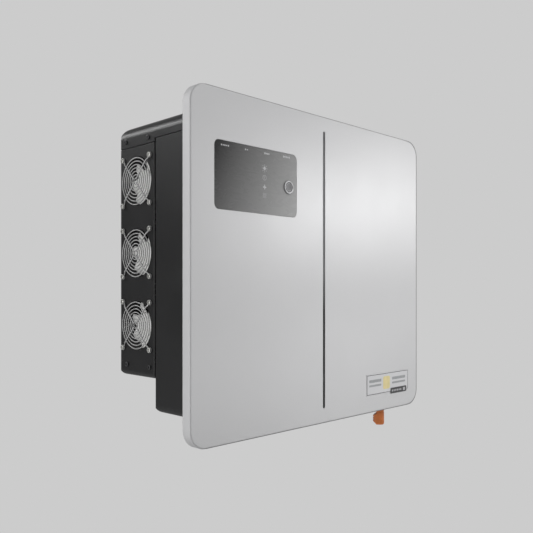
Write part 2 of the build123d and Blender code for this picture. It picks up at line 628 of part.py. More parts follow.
# ---------------------------------------------------------------- electronics
Y_POWER0, Y_POWER1 = -116.6, -115.0              # power board
Y_CONTROL0, Y_CONTROL1 = -186.0, -184.4          # control board
POWER_POSTS = [(-205, -122), (0, -122), (205, -122), (-205, 190), (0, 190), (205, 190),
               (-205, 35), (205, 35)]
CONTROL_POSTS = [(-180, 20), (20, 20), (-180, 182), (20, 182)]
CONTROL_CHIPS = [                                # (x, z, half width, half height)
    (-140, 120, 12, 12), (-90, 90, 9, 9), (-40, 150, 14, 6),
    (-150, 50, 8, 14), (-20, 60, 10, 10), (0, 120, 5, 16),
]
SURGE_PROFILE = [(-120, -190, 0), (-145, -190, 0), (-145, -172, 0), (-160, -172, 0),
                 (-160, -145, 0), (-145, -145, 0), (-145, -134, 0), (-120, -134, 0)]   # (y, z, 0)


def power_board():
    board = extrude_y(rect(-215, 215, -130, 200, 4), Y_POWER0, Y_POWER1)
    for x, z in POWER_POSTS:
        board -= cyl_y(-120, -110, x, z, 2.2)
    return board


def board_standoffs():
    posts = [
        cyl_y(Y_POWER1, Y_CAVITY, x, z, 4.5) + cyl_y(Y_POWER0 - 0.4, Y_POWER1 + 0.1, x, z, 2.1)
        for x, z in POWER_POSTS
    ]
    return posts + [cyl_y(Y_CONTROL1, Y_POWER0, x, z, 3.5) for x, z in CONTROL_POSTS]


def power_modules():
    modules = []
    for x in (-110, 10, 130):
        module = box(x - 45, x + 45, -113.0, SINK_Y0, -10, 40)
        module -= cyl_y(-115, -100, x - 40, 15, 2.2) + cyl_y(-115, -100, x + 40, 15, 2.2)
        for k in range(9):                       # two rows of pins
            pin_x = x - 32 + 8 * k
            for z in (-6, 36):
                module += box(pin_x - 0.5, pin_x + 0.5, -114.9, -112.9, z - 0.5, z + 0.5)
        modules.append(module)
    return modules


def dc_link_capacitors():
    capacitors = []
    for x in (-75, -40, -5, 30, 65, 100):
        for z in (72, 108):
            can = cyl_y(-161.6, Y_POWER0, x, z, 15)
            capacitors.append(chamfer(can.edges().sort_by(Axis.Y)[:1], 1.5))
    return capacitors


def boost_chokes():
    chokes = []
    for x in (-175, -108):
        for z in (-92, -27):
            ring = cyl_y(-147, Y_POWER0, x, z, 29) - cyl_y(-150, -110, x, z, 12)
            front_edges = ring.edges().filter_by(GeomType.CIRCLE).sort_by(Axis.Y)[:2]
            chokes.append(fillet(front_edges, 5))
    return chokes


def ac_relays():
    return [box(x - 14, x + 14, -136.6, Y_POWER0, z - 11, z + 11)
            for x in (60, 96, 132) for z in (-85, -55)]


def control_board():
    board = extrude_y(rect(-190, 30, 10, 192, 3), Y_CONTROL0, Y_CONTROL1)
    for x, z, half_w, half_h in CONTROL_CHIPS:
        board += box(x - half_w, x + half_w, -188.2, -185.9, z - half_h, z + half_h)
    return board


def surge_protectors():
    """Three modules in a row and the block behind them."""
    centres = [140 + 18.4 * k for k in range(3)]
    modules = [extrude_x(polygon(SURGE_PROFILE), x - 9, x + 9) for x in centres]
    return modules + [box(125, 195, -119.9, Y_CAVITY, -179, -144)]


def ac_terminal_block():
    terminals = []
    for k in range(5):
        x = -150 + 12.2 * k
        terminal = box(x - 6, x + 6, -140, Y_CAVITY, -185, -150)
        terminal -= cyl_y(-141, -130, x, -160, 3.2) + box(
            x - 3.5, x + 3.5, -136, -118, -186, -172)
        terminals.append(terminal)
    return terminals


# ---------------------------------------------------------------- DC isolator
SHAFT_R, SHAFT_BORE_R, Z_SHAFT = 4.1, 4.15, -252
KNOB_TOP, KNOB_HEAD, KNOB_BOTTOM = -222.3, -261.5, -284.2   # stem top, head top, head bottom
HEAD_R, TIP_R, TIP_OFFSET = 7.4, 5.4, 7.9        # teardrop head, seen from below
TIP_X = TIP_OFFSET + TIP_R
POINTER = (-0.7079, 0.7063)                      # at rest it points to the left rear


def dc_switch_body():
    body = box(SWITCH_X - 24.8, SWITCH_X + 24.2, -213, -163, Z_FLOOR, -140)
    body += box(SWITCH_X - 19, SWITCH_X + 19, -207, -169, -140.1, -132)
    body -= cyl_z(Z_FLOOR - 1, -150, *SWITCH, SHAFT_BORE_R)
    for z in (-196, -166):                       # wells in the front face
        for offset in (-12, 0, 12):
            body -= cyl_y(-220, -209, SWITCH_X + offset, z, 3.0)
    return body


def dc_switch_shaft():
    return cyl_z(Z_SHAFT, -152, *SWITCH, SHAFT_R)


def dc_switch_escutcheon():
    plate = extrude_z(centred_rect(*SWITCH, 40, 39, 5), -221.5, Z_BOT)
    plate = chamfer(plate.faces().sort_by(Axis.Z)[0].edges(), 1.6)
    plate -= cyl_z(-225, Z_BOT + 1, *SWITCH, SHAFT_BORE_R)
    return plate


def knob_head():
    """Teardrop head with its axis at the origin and its tip at +X."""
    def point(radius, degrees, x):
        angle = math.radians(degrees)
        return Vector(x + radius * math.cos(angle), radius * math.sin(angle))

    touch = math.degrees(math.acos((HEAD_R - TIP_R) / TIP_OFFSET))
    round_start, round_end = point(HEAD_R, touch, 0), point(HEAD_R, -touch, 0)
    tip_start, tip_end = point(TIP_R, -touch, TIP_OFFSET), point(TIP_R, touch, TIP_OFFSET)
    teardrop = Face(Wire([
        ThreePointArc(round_start, point(HEAD_R, 180, 0), round_end),
        Line(round_end, tip_start),
        ThreePointArc(tip_start, point(TIP_R, 0, TIP_OFFSET), tip_end),
        Line(tip_end, round_start),
    ]))
    head = extrude_z(teardrop, KNOB_BOTTOM, KNOB_HEAD)
    head = fillet(head.faces().sort_by(Axis.Z)[0].edges(), 3.4)
    # the tip is cut back above and below, with two finger grooves across its end
    for x_start, z_outer, z_tip in ((3.9, KNOB_HEAD + 1, KNOB_HEAD - 6.6),
                                    (6.4, KNOB_BOTTOM - 1, KNOB_BOTTOM + 7.6)):
        corner = [(x_start, z_outer, 0), (TIP_X + 1, z_outer, 0), (TIP_X + 1, z_tip, 0)]
        head -= extrude_y(polygon(corner), -20, 20)
    for z in (-269.8, -274.6):
        head -= box(TIP_X - 2.0, TIP_X + 2, -9, 9, z - 0.9, z + 0.9)
    return head


def dc_switch_knob():
    knob = cyl_z(KNOB_HEAD - 1, KNOB_TOP, *SWITCH, 7.0)
    knob = fillet(knob.edges().sort_by(Axis.Z)[-1:], 1.0)
    turn = math.degrees(math.atan2(POINTER[1], POINTER[0]))
    knob += Pos(*SWITCH, 0) * Rot(0, 0, turn) * knob_head()
    knob -= cyl_z(Z_SHAFT - 0.3, KNOB_TOP + 1, *SWITCH, SHAFT_BORE_R)
    return knob


# ---------------------------------------------------------------- bottom fittings
def locknut(axis, height, across_flats, bore_r):
    nut = hex_z(Z_FLOOR, Z_FLOOR + height, *axis, across_flats)
    return nut - cyl_z(Z_FLOOR - 1, Z_FLOOR + height + 1, *axis, bore_r)


def dc_connectors():
    """PV inlet connectors, each with its nut inside the box."""
    shapes = []
    for axis in PV_INLETS:
        inlet = cyl_z(Z_BOT, -199, *axis, 6.0) + cyl_z(-218.0, Z_BOT, *axis, 9.5)
        inlet += cyl_z(-243.0, -217.9, *axis, 7.0)
        inlet -= cyl_z(-244, -226, *axis, 4.6)
        inlet += cyl_z(-240, -225.9, *axis, 2.0)
        shapes += [inlet, locknut(axis, height=5, across_flats=17, bore_r=6.05)]
    return shapes


def ac_gland_body():
    body = hex_z(-220.5, Z_BOT, *AC_GLAND, 38) + cyl_z(Z_BOT - 0.1, -199, *AC_GLAND, 16.0)
    body += cyl_z(-234, -220.4, *AC_GLAND, 15.5)
    return body - cyl_z(-240, -190, *AC_GLAND, 12.6)


def ac_gland_nut():
    nut = hex_z(-246, -222, *AC_GLAND, 37)
    nut = nut & cyl_z(-247, -221, *AC_GLAND, 20.2)
    nut -= cyl_z(-240, -220, *AC_GLAND, 15.6)
    nut -= cyl_z(-250, -238, *AC_GLAND, 11.0)
    return nut


def ac_gland_seal():
    return cyl_z(-238, -223, *AC_GLAND, 12.5) - cyl_z(-240, -220, *AC_GLAND, 11.0)


def gland_locknuts():
    return [locknut(AC_GLAND, height=6, across_flats=38, bore_r=16.05),
            locknut(COM_PORT, height=4, across_flats=24, bore_r=10.05)]


def com_port_cap():
    cap = hex_z(-218.5, Z_BOT, *COM_PORT, 24) + cyl_z(Z_BOT - 0.1, -202, *COM_PORT, 10.0)
    cap += cyl_z(-238, -218.4, *COM_PORT, 11.0)
    return fillet(cap.faces().sort_by(Axis.Z)[0].edges(), 2.5)


def breather_vent():
    vent = cyl_z(-217.5, Z_BOT, *VENT, 10) + cyl_z(Z_BOT - 0.1, -203, *VENT, 6.0)
    return vent + cyl_z(-222, -217.4, *VENT, 8.0)


def earth_stud():
    stud = cyl_z(-236, -218, *EARTH, 3.0) + cyl_z(-218.05, Z_FLOOR + 0.1, *EARTH, 2.6)
    return stud + hex_z(Z_FLOOR, Z_FLOOR + 3.5, *EARTH, 10)


# ---------------------------------------------------------------- wall hanging
BRACKET_T, RAIL_T = 2.0, 1.6
Y_RAIL = Y_BACK + RAIL_T                         # rear face of the rail's and tabs' plates


def wall_bracket():
    """Plate on the wall with a hook along its top edge."""
    plate = extrude_y(rect(-190, 190, -75, 120, 8), -BRACKET_T, 0)
    plate = plate + box(-190, 190, -7.6, 0, 118, 120) + box(-190, 190, -BRACKET_T, 0, 100, 120)
    lip = polygon([(-190, 118, 0), (190, 118, 0), (190, 138, 4), (-190, 138, 4)])
    plate += extrude_y(lip, -7.6, -5.6)
    for x in (-150, 150):
        for z in (-35, 85):
            plate -= cyl_y(-5, 1, x, z, 4.5)
    for side in (-1, 1):
        plate -= extrude_y(rect(*side_span(side, 30, 115), -45, 80, 10), -5, 1)
    return plate


def hang_rail():
    """Rail on the duct's rear that drops behind the bracket's hook."""
    rail = box(-180, 180, Y_BACK, Y_RAIL, 144, 184) + box(-180, 180, Y_BACK, -3.0, 144, 145.6)
    rail += box(-180, 180, -4.6, -3.0, 120.1, 145.6)
    for x, z in UPPER_RAIL_SCREWS:
        rail -= cyl_y(-12, -5, x, z, CLEAR_R)
    return rail


def lower_lock_tabs():
    tabs = []
    for x in TAB_X:
        tab = box(x - 16, x + 16, Y_BACK, Y_RAIL, -168, -135)
        tab = tab + box(x - 16, x + 16, Y_BACK, 0, -169.6, -168)
        tab = tab + box(x - 16, x + 16, -1.6, 0, -194, -168)
        tab -= cyl_y(-3, 1, x, -182, 3.5) + cyl_y(-12, -5, x, TAB_SCREW_Z, CLEAR_R)
        tabs.append(tab)
    return tabs


def hang_rail_screws():
    screw = pan_screw(head_d=7.6, head_h=2.2, length=4.9)
    return [Pos(x, Y_RAIL, z) * TO_WALL * screw for x, z in RAIL_SCREWS]


# ---------------------------------------------------------------- output
PIECES = (
    front_cover, slot_inlay, badge_plate, badge_strip,
    display_window, window_gasket, display_board, lcd_module, indicator_light_pipes,
    button_bezel, button_cap, button_spring, button_switch,
    main_housing, cover_gasket, machine_screws, top_cover,
    fan_panel, outlet_grille, duct_shell, casing_screws, heat_sink, heat_sink_gasket,
    fan_stators, fan_bearings, fan_screws,
    power_board, board_standoffs, power_modules, dc_link_capacitors, boost_chokes, ac_relays,
    control_board, surge_protectors, ac_terminal_block,
    dc_switch_body, dc_switch_shaft, dc_switch_escutcheon, dc_switch_knob,
    dc_connectors, ac_gland_body, ac_gland_nut, ac_gland_seal, gland_locknuts,
    com_port_cap, breather_vent, earth_stud,
    wall_bracket, hang_rail, lower_lock_tabs, hang_rail_screws,
)


def save(name, built):
    """Writes a shape, or a list of shapes, as one compound of solids."""
    shapes = built if type(built) is list else [built]
    solids = [solid for shape in shapes for solid in shape.solids()]
    export_step(Compound(children=solids), f"parts/{name}.step")


for build in PIECES:
    save(build.__name__, build())

guard_at_zero = fan_guard()
for name, z_axis in zip(("top", "middle", "bottom"), FAN_Z):
    save(f"fan_{name}_frame", fan_frame(z_axis))
    save(f"fan_{name}_rotor", fan_rotor(z_axis))
    save(f"fan_{name}_guard", Pos(0, 0, z_axis) * guard_at_zero)
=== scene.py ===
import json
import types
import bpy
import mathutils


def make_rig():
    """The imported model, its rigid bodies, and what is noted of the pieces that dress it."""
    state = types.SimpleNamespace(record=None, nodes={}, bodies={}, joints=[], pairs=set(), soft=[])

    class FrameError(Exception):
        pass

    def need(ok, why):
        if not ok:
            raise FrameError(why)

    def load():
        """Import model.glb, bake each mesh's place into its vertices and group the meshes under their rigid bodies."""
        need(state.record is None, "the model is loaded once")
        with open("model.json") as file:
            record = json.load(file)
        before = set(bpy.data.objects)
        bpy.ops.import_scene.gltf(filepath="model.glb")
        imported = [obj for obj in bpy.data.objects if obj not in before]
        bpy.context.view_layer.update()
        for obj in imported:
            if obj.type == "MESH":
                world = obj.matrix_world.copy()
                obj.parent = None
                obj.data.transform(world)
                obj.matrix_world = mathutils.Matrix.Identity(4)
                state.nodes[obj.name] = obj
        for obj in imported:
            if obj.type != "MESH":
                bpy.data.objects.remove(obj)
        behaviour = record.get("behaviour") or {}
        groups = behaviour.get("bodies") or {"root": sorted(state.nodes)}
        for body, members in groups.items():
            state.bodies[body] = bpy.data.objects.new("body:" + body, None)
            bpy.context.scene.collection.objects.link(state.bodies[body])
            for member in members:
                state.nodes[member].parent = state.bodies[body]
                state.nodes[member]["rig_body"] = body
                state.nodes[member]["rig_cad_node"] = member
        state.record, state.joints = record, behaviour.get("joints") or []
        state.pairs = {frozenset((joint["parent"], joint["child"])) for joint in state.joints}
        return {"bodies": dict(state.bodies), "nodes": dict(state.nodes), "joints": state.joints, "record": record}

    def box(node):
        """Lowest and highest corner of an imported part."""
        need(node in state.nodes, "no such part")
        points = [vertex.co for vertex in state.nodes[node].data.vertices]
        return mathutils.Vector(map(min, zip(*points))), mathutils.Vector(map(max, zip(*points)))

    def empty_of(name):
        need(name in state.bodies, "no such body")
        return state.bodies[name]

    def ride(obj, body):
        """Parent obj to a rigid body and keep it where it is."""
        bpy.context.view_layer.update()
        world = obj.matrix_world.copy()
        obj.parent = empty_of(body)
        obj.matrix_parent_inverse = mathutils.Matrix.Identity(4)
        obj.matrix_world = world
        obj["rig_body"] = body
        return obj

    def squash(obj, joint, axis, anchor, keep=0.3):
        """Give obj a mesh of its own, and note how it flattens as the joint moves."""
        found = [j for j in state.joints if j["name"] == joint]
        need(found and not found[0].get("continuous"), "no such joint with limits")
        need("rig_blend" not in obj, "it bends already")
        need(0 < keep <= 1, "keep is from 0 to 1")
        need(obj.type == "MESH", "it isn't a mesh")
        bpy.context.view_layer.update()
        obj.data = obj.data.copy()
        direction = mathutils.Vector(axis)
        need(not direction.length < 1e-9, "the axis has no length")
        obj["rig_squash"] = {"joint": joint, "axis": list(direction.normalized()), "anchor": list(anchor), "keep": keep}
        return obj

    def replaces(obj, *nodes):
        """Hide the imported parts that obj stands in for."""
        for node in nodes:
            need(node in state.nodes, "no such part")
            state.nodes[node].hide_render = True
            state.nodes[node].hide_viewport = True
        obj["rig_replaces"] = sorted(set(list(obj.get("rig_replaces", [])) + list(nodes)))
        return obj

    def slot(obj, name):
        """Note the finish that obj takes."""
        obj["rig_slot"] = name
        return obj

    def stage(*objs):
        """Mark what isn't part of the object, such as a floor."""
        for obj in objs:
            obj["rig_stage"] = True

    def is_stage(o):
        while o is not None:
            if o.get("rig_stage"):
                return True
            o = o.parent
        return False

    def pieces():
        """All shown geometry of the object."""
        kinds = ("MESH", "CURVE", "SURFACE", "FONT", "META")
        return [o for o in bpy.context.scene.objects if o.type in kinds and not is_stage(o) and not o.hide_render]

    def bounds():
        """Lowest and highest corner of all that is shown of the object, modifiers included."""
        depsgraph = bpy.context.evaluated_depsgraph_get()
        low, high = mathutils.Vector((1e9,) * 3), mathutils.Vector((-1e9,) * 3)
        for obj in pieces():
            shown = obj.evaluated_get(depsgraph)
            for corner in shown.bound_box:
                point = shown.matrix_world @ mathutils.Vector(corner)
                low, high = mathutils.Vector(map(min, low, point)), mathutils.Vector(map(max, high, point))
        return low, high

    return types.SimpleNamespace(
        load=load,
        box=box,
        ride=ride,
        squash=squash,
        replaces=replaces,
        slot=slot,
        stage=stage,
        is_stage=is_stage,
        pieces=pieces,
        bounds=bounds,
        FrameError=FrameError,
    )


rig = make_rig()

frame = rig.load()
cad_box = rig.bounds()

import json
import math
import random

import bmesh
import bpy
from mathutils import Vector

random.seed(7)
ROOT = "inverter"
MM = 0.001
scene = bpy.context.scene


# ------------------------------------------------------------------ colours and shader nodes
def srgb(*channels):
    """sRGB 0-255 to linear RGBA."""
    def linear(v):
        return v / 12.92 if v <= 0.04045 else ((v + 0.055) / 1.055) ** 2.4
    return (*(linear(v / 255) for v in channels), 1.0)


def scaled(colour, factor):
    return (*(min(v * factor, 1) for v in colour[:3]), 1.0)


class Nodes:
    """Empty node tree of a material or world, with short ways to add nodes."""

    def __init__(self, owner):
        owner.use_nodes = True
        self.tree = owner.node_tree
        self.tree.nodes.clear()

    def feed(self, node, inputs):
        """Link each input to a socket, or set it to a plain value."""
        for key, value in inputs.items():
            if hasattr(value, "links"):
                self.tree.links.new(value, node.inputs[key])
            else:
                node.inputs[key].default_value = value

    def add(self, kind, inputs=None, **props):
        node = self.tree.nodes.new(kind)
        for key, value in props.items():
            setattr(node, key, value)
        self.feed(node, inputs or {})
        return node

    def math(self, operation, a, b=0.0, c=None):
        inputs = {0: a, 1: b} if c is None else {0: a, 1: b, 2: c}
        return self.add("ShaderNodeMath", inputs, operation=operation).outputs[0]

    def times(self, a, b):
        return self.math("MULTIPLY", a, b)

    def ramp(self, value, start, end, to=(0.0, 1.0)):
        """Clamped linear map from start..end onto the range in to."""
        inputs = {"Value": value, "From Min": start, "From Max": end,
                  "To Min": to[0], "To Max": to[1]}
        return self.add("ShaderNodeMapRange", inputs, clamp=True).outputs["Result"]

    def separate(self, vector):
        return self.add("ShaderNodeSeparateXYZ", {0: vector}).outputs

    def split_by_camera(self, output, lit, seen):
        """The camera sees one shader, while all other rays meet the other."""
        is_camera = self.add("ShaderNodeLightPath").outputs["Is Camera Ray"]
        mix = self.add("ShaderNodeMixShader",
                       {0: is_camera, 1: lit.outputs[0], 2: seen.outputs[0]})
        self.add(output, {0: mix.outputs[0]})


class Shader(Nodes):
    """Material with one Principled shader, textured in object coordinates (metres)."""

    def __init__(self, name):
        self.material = bpy.data.materials.new(name)
        super().__init__(self.material)
        output = self.add("ShaderNodeOutputMaterial")
        self.principled = self.add("ShaderNodeBsdfPrincipled")
        self.feed(output, {"Surface": self.principled.outputs["BSDF"]})
        self.coords = self.add("ShaderNodeTexCoord").outputs["Object"]

    def finish(self, inputs):
        self.feed(self.principled, inputs)
        return self.material

    def geometry(self, output):
        return self.add("ShaderNodeNewGeometry").outputs[output]

    def mapped(self, setting, xyz):
        mapping = self.add("ShaderNodeMapping", {setting: xyz, "Vector": self.coords})
        return mapping.outputs["Vector"]

    def noise(self, scale, detail=3.0, rough=0.55, vector=None, distortion=0.0):
        inputs = {"Scale": scale, "Detail": detail, "Roughness": rough,
                  "Distortion": distortion,
                  "Vector": self.coords if vector is None else vector}
        return self.add("ShaderNodeTexNoise", inputs).outputs["Fac"]

    def mix(self, factor, a, b):
        node = self.add("ShaderNodeMix", {"Factor": factor}, data_type="RGBA")
        for name, value in (("A", a), ("B", b)):
            # the node has inputs of the same name for other data types
            index = [i for i, socket in enumerate(node.inputs)
                     if socket.name == name and socket.type == "RGBA"][0]
            self.feed(node, {index: value})
        return [socket for socket in node.outputs if socket.type == "RGBA"][0]

    def bump(self, height, strength, distance, normal=None):
        inputs = {"Strength": strength, "Distance": distance, "Height": height}
        if normal is not None:
            inputs["Normal"] = normal
        return self.add("ShaderNodeBump", inputs).outputs["Normal"]

    def bevel(self, radius):
        return self.add("ShaderNodeBevel", {"Radius": radius}, samples=4).outputs["Normal"]

    def edges(self, bevel_normal):
        """Mask of the edges: where the bevelled normal leaves the true one."""
        dot = self.add("ShaderNodeVectorMath",
                       {0: bevel_normal, 1: self.geometry("Normal")}, operation="DOT_PRODUCT")
        return self.ramp(self.math("SUBTRACT", 1.0, dot.outputs["Value"]), 0.01, 0.12)


# ------------------------------------------------------------------ materials
DUST = srgb(150, 148, 142)
GLOW = srgb(200, 200, 198)
# painted light: grey for the left side of the cover's rim
LEFT_RIM_PAINTED_LIGHT = srgb(184, 184, 185)
# centres of the front cover's corner arcs and where the painted shade line along its right edge starts and ends, metres
CORNER_X, CORNER_Z = 0.246, 0.2195
SHADE_LINE_START, SHADE_LINE_END = 0.0244, 0.0254


def paint_rim_shade_and_light(s, base, rough, colour, rim):
    """Painted shade and light on the front cover's folded rim; returns base, roughness and a mask that is 0 on its
    painted shade line.
    """
    normal = s.separate(s.geometry("Normal"))
    facing = s.math("ABSOLUTE", normal["Y"])
    # painted shade: darker strip on the fold, except where it turns to the left
    painted_shade_band = s.times(s.ramp(facing, 0.10, 0.30), s.ramp(facing, 0.90, 0.985, to=(1.0, 0.0)))
    painted_shade_band = s.times(painted_shade_band, s.ramp(normal["X"], -0.12, -0.02))
    base = s.mix(s.times(painted_shade_band, rim), base, scaled(colour, 0.18))
    # the left side of the rim is rougher, and painted light gives it a grey of its own for how light falls on that side
    left = s.times(s.ramp(facing, 0.94, 0.998, to=(1.0, 0.0)),
                   s.ramp(normal["X"], -0.20, -0.03, to=(1.0, 0.0)))
    base = s.mix(s.times(left, 0.55), base, LEFT_RIM_PAINTED_LIGHT)
    rough = s.math("MULTIPLY_ADD", left, 0.34, rough)
    # painted shade: thin dark line along the face's rounded right edge, by distance from the corner arcs
    place = s.separate(s.geometry("Position"))
    past_x, past_z = (
        s.math("MAXIMUM", s.math("SUBTRACT", s.math("ABSOLUTE", place[axis]), centre), 0.0)
        for axis, centre in (("X", CORNER_X), ("Z", CORNER_Z)))
    distance = s.math("SQRT", s.math("ADD", s.times(past_x, past_x), s.times(past_z, past_z)))
    line = s.times(s.ramp(distance, SHADE_LINE_START, SHADE_LINE_END),
                   s.ramp(place["X"], 0.235, 0.262))
    line = s.times(line, s.ramp(facing, 0.25, 0.45))
    base = s.mix(s.times(line, 0.82), base, scaled(colour, 0.10))
    return base, rough, s.math("SUBTRACT", 1.0, line)


def surface(name, colour, rough=0.5, metal=0.0, spec=0.5, grain=900, bump=0.1, depth=0.0002,
            var=0.08, patch=9.0, rough_var=0.1, wear=0.0, wear_colour=None, radius=0.0006,
            dust=0.0, coat=0.0, stretch=None, speck=0.0, rim=0.0, glow=0.0):
    """General finish.

    grain, bump, depth, stretch: scale, strength, height (metres) and axis scales of the
    fine texture. var, patch: strength and scale of the colour patches. rough_var: spread of
    roughness. wear: lightening of edges found with a bevel of the given radius (metres).
    dust, speck, rim, glow: strength of upward dust, of specks, of the painted shade and light on the rim and of the
    painted glow.
    """
    s = Shader(name)
    patches = s.noise(patch, detail=4.0, rough=0.6)
    base = s.mix(s.ramp(patches, 0.3, 0.7), scaled(colour, 1 - var), scaled(colour, 1 + var))
    fine = s.noise(grain, detail=3.0, rough=0.6,
                   vector=s.mapped("Scale", stretch) if stretch else None)
    if stretch:
        base = s.mix(s.ramp(fine, 0.3, 0.7), base, scaled(colour, 1 - 1.6 * var))
    if speck:
        specks = s.ramp(s.noise(grain * 1.7, detail=1.0, rough=0.5), 0.56, 0.66)
        base = s.mix(s.times(specks, speck), base, scaled(colour, 1.5))
    normal = s.bevel(radius) if radius else None
    if wear and radius:
        worn = s.times(s.edges(normal), s.ramp(s.noise(60.0, detail=4.0, rough=0.7), 0.35, 0.62))
        base = s.mix(s.times(worn, wear), base, wear_colour or scaled(colour, 1.7))
    roughness = s.ramp(s.noise(patch * 2.3, detail=4.0, rough=0.65), 0.3, 0.7,
                       to=(max(rough - rough_var / 2, 0.03), min(rough + rough_var / 2, 1)))
    if dust:
        up = s.ramp(s.separate(s.geometry("Normal"))["Z"], 0.6, 0.98)
        cloud = s.ramp(s.noise(35.0, detail=5.0, rough=0.7), 0.35, 0.75, to=(0.25, 1.0))
        base = s.mix(s.times(s.times(up, cloud), dust), base, DUST)
    s.feed(s.principled, {"Metallic": metal, "Specular IOR Level": spec, "Coat Weight": coat})
    if rim:
        base, roughness, keep = paint_rim_shade_and_light(s, base, roughness, colour, rim)
        # metal and specular are taken off along the painted shade line
        s.feed(s.principled, {"Metallic": s.times(keep, metal),
                              "Specular IOR Level": s.times(keep, spec)})
    # painted light: emission on a part that is no lamp
    if glow:
        s.feed(s.principled, {"Emission Color": GLOW, "Emission Strength": glow})
    return s.finish({"Base Color": base, "Roughness": roughness,
                     "Normal": s.bump(fine, strength=bump, distance=depth, normal=normal)})


def board_material(name):
    """Solder resist with lighter tracks, vias and a fine grain."""
    s = Shader(name)
    green = srgb(22, 88, 52)
    brick = s.add("ShaderNodeTexBrick", {
        "Vector": s.mapped("Rotation", (math.radians(90), 0, 0)),
        "Scale": 60.0, "Mortar Size": 0.035,
        "Color1": green, "Color2": scaled(green, 0.8), "Mortar": srgb(58, 140, 86)})
    cells = s.add("ShaderNodeTexVoronoi", {"Scale": 210.0, "Vector": s.coords})
    via = s.ramp(cells.outputs["Distance"], 0.10, 0.14, to=(1.0, 0.0))
    base = s.mix(s.times(via, 0.8), brick.outputs["Color"], srgb(190, 170, 110))
    base = s.mix(s.times(s.ramp(s.noise(14.0), 0.4, 0.7), 0.3), base, scaled(green, 0.7))
    return s.finish({"Base Color": base,
                     "Roughness": s.ramp(s.noise(300.0), 0.3, 0.7, to=(0.28, 0.42)),
                     "Normal": s.bump(brick.outputs["Fac"], strength=0.2, distance=0.0002)})


def window_material(name):
    """Smoked acrylic with a painted reflection that lightens it to the right and downwards; faint marks in the sheen.
    """
    s = Shader(name)
    place = s.separate(s.coords)
    # painted reflection: the dark smoke is lightened to the right and downwards, besides a little random tone
    across = s.ramp(place["X"], -0.2345, -0.0685, to=(0.0, 0.335))
    upward = s.ramp(place["Z"], 0.0775, 0.1775, to=(0.105, 0.0))
    smoke_and_painted_reflection = s.math("ADD", s.math("ADD", across, upward),
                  s.ramp(s.noise(5.0, detail=4.0, rough=0.6), 0.3, 0.7, to=(-0.024, -0.016)))
    smoke_and_painted_reflection = s.math("MAXIMUM", smoke_and_painted_reflection, 0.006)
    grey = s.add("ShaderNodeCombineColor", {"Red": smoke_and_painted_reflection, "Green": smoke_and_painted_reflection, "Blue": smoke_and_painted_reflection})
    marks = s.noise(30.0, detail=5.0, rough=0.7, vector=s.mapped("Scale", (1.0, 1.0, 3.0)),
                    distortion=0.6)
    return s.finish({"Base Color": grey.outputs[0],
                     "Roughness": s.ramp(marks, 0.25, 0.8, to=(0.265, 0.285)),
                     "IOR": 1.8, "Specular IOR Level": 0.13,
                     "Normal": s.bump(s.noise(260.0, detail=2.0), strength=0.01,
                                      distance=0.0001, normal=s.bevel(0.0006))})


def inlay_material(name):
    """Slot inlay: near black below, with a painted reflection that lightens its upper half."""
    s = Shader(name)
    height = s.separate(s.geometry("Position"))["Z"]
    # painted reflection: lighter grey over the upper part, fading somewhat towards the top
    light = s.times(s.ramp(height, -0.068, -0.004), s.ramp(height, 0.17, 0.24, to=(1.0, 0.45)))
    base = s.mix(light, srgb(9, 9, 10), srgb(122, 122, 124))
    blotches = s.times(s.ramp(s.noise(140.0, detail=3.0), 0.4, 0.7), 0.10)
    return s.finish({"Base Color": s.mix(blotches, base, srgb(40, 40, 42)),
                     "Roughness": s.ramp(s.noise(90.0), 0.3, 0.7, to=(0.55, 0.68)),
                     "Specular IOR Level": 0.3,
                     "Normal": s.bump(s.noise(900.0, detail=2.0), strength=0.08,
                                      distance=0.0001)})


def winding_material(name, colour):
    """Enamelled wire: close parallel turns around the part."""
    s = Shader(name)
    turns = s.add("ShaderNodeTexWave", {"Scale": 260.0, "Distortion": 0.6, "Vector": s.coords},
                  wave_type="RINGS", rings_direction="X").outputs["Fac"]
    return s.finish({"Base Color": s.mix(turns, scaled(colour, 0.45), scaled(colour, 1.15)),
                     "Metallic": 0.6,
                     "Roughness": s.ramp(s.noise(40.0), 0.3, 0.7, to=(0.25, 0.4)),
                     "Normal": s.bump(turns, strength=0.6, distance=0.0004)})


def ink(name, colour, rough=0.6, var=0.10, patch=200):
    return surface(name, colour, rough=rough, grain=2200, bump=0.05, var=var, patch=patch,
                   radius=0)


def cable_sheath(name, colour, rough=0.5, bump=0.12, var=0.12):
    return surface(name, colour, rough=rough, bump=bump, var=var, patch=60, radius=0)


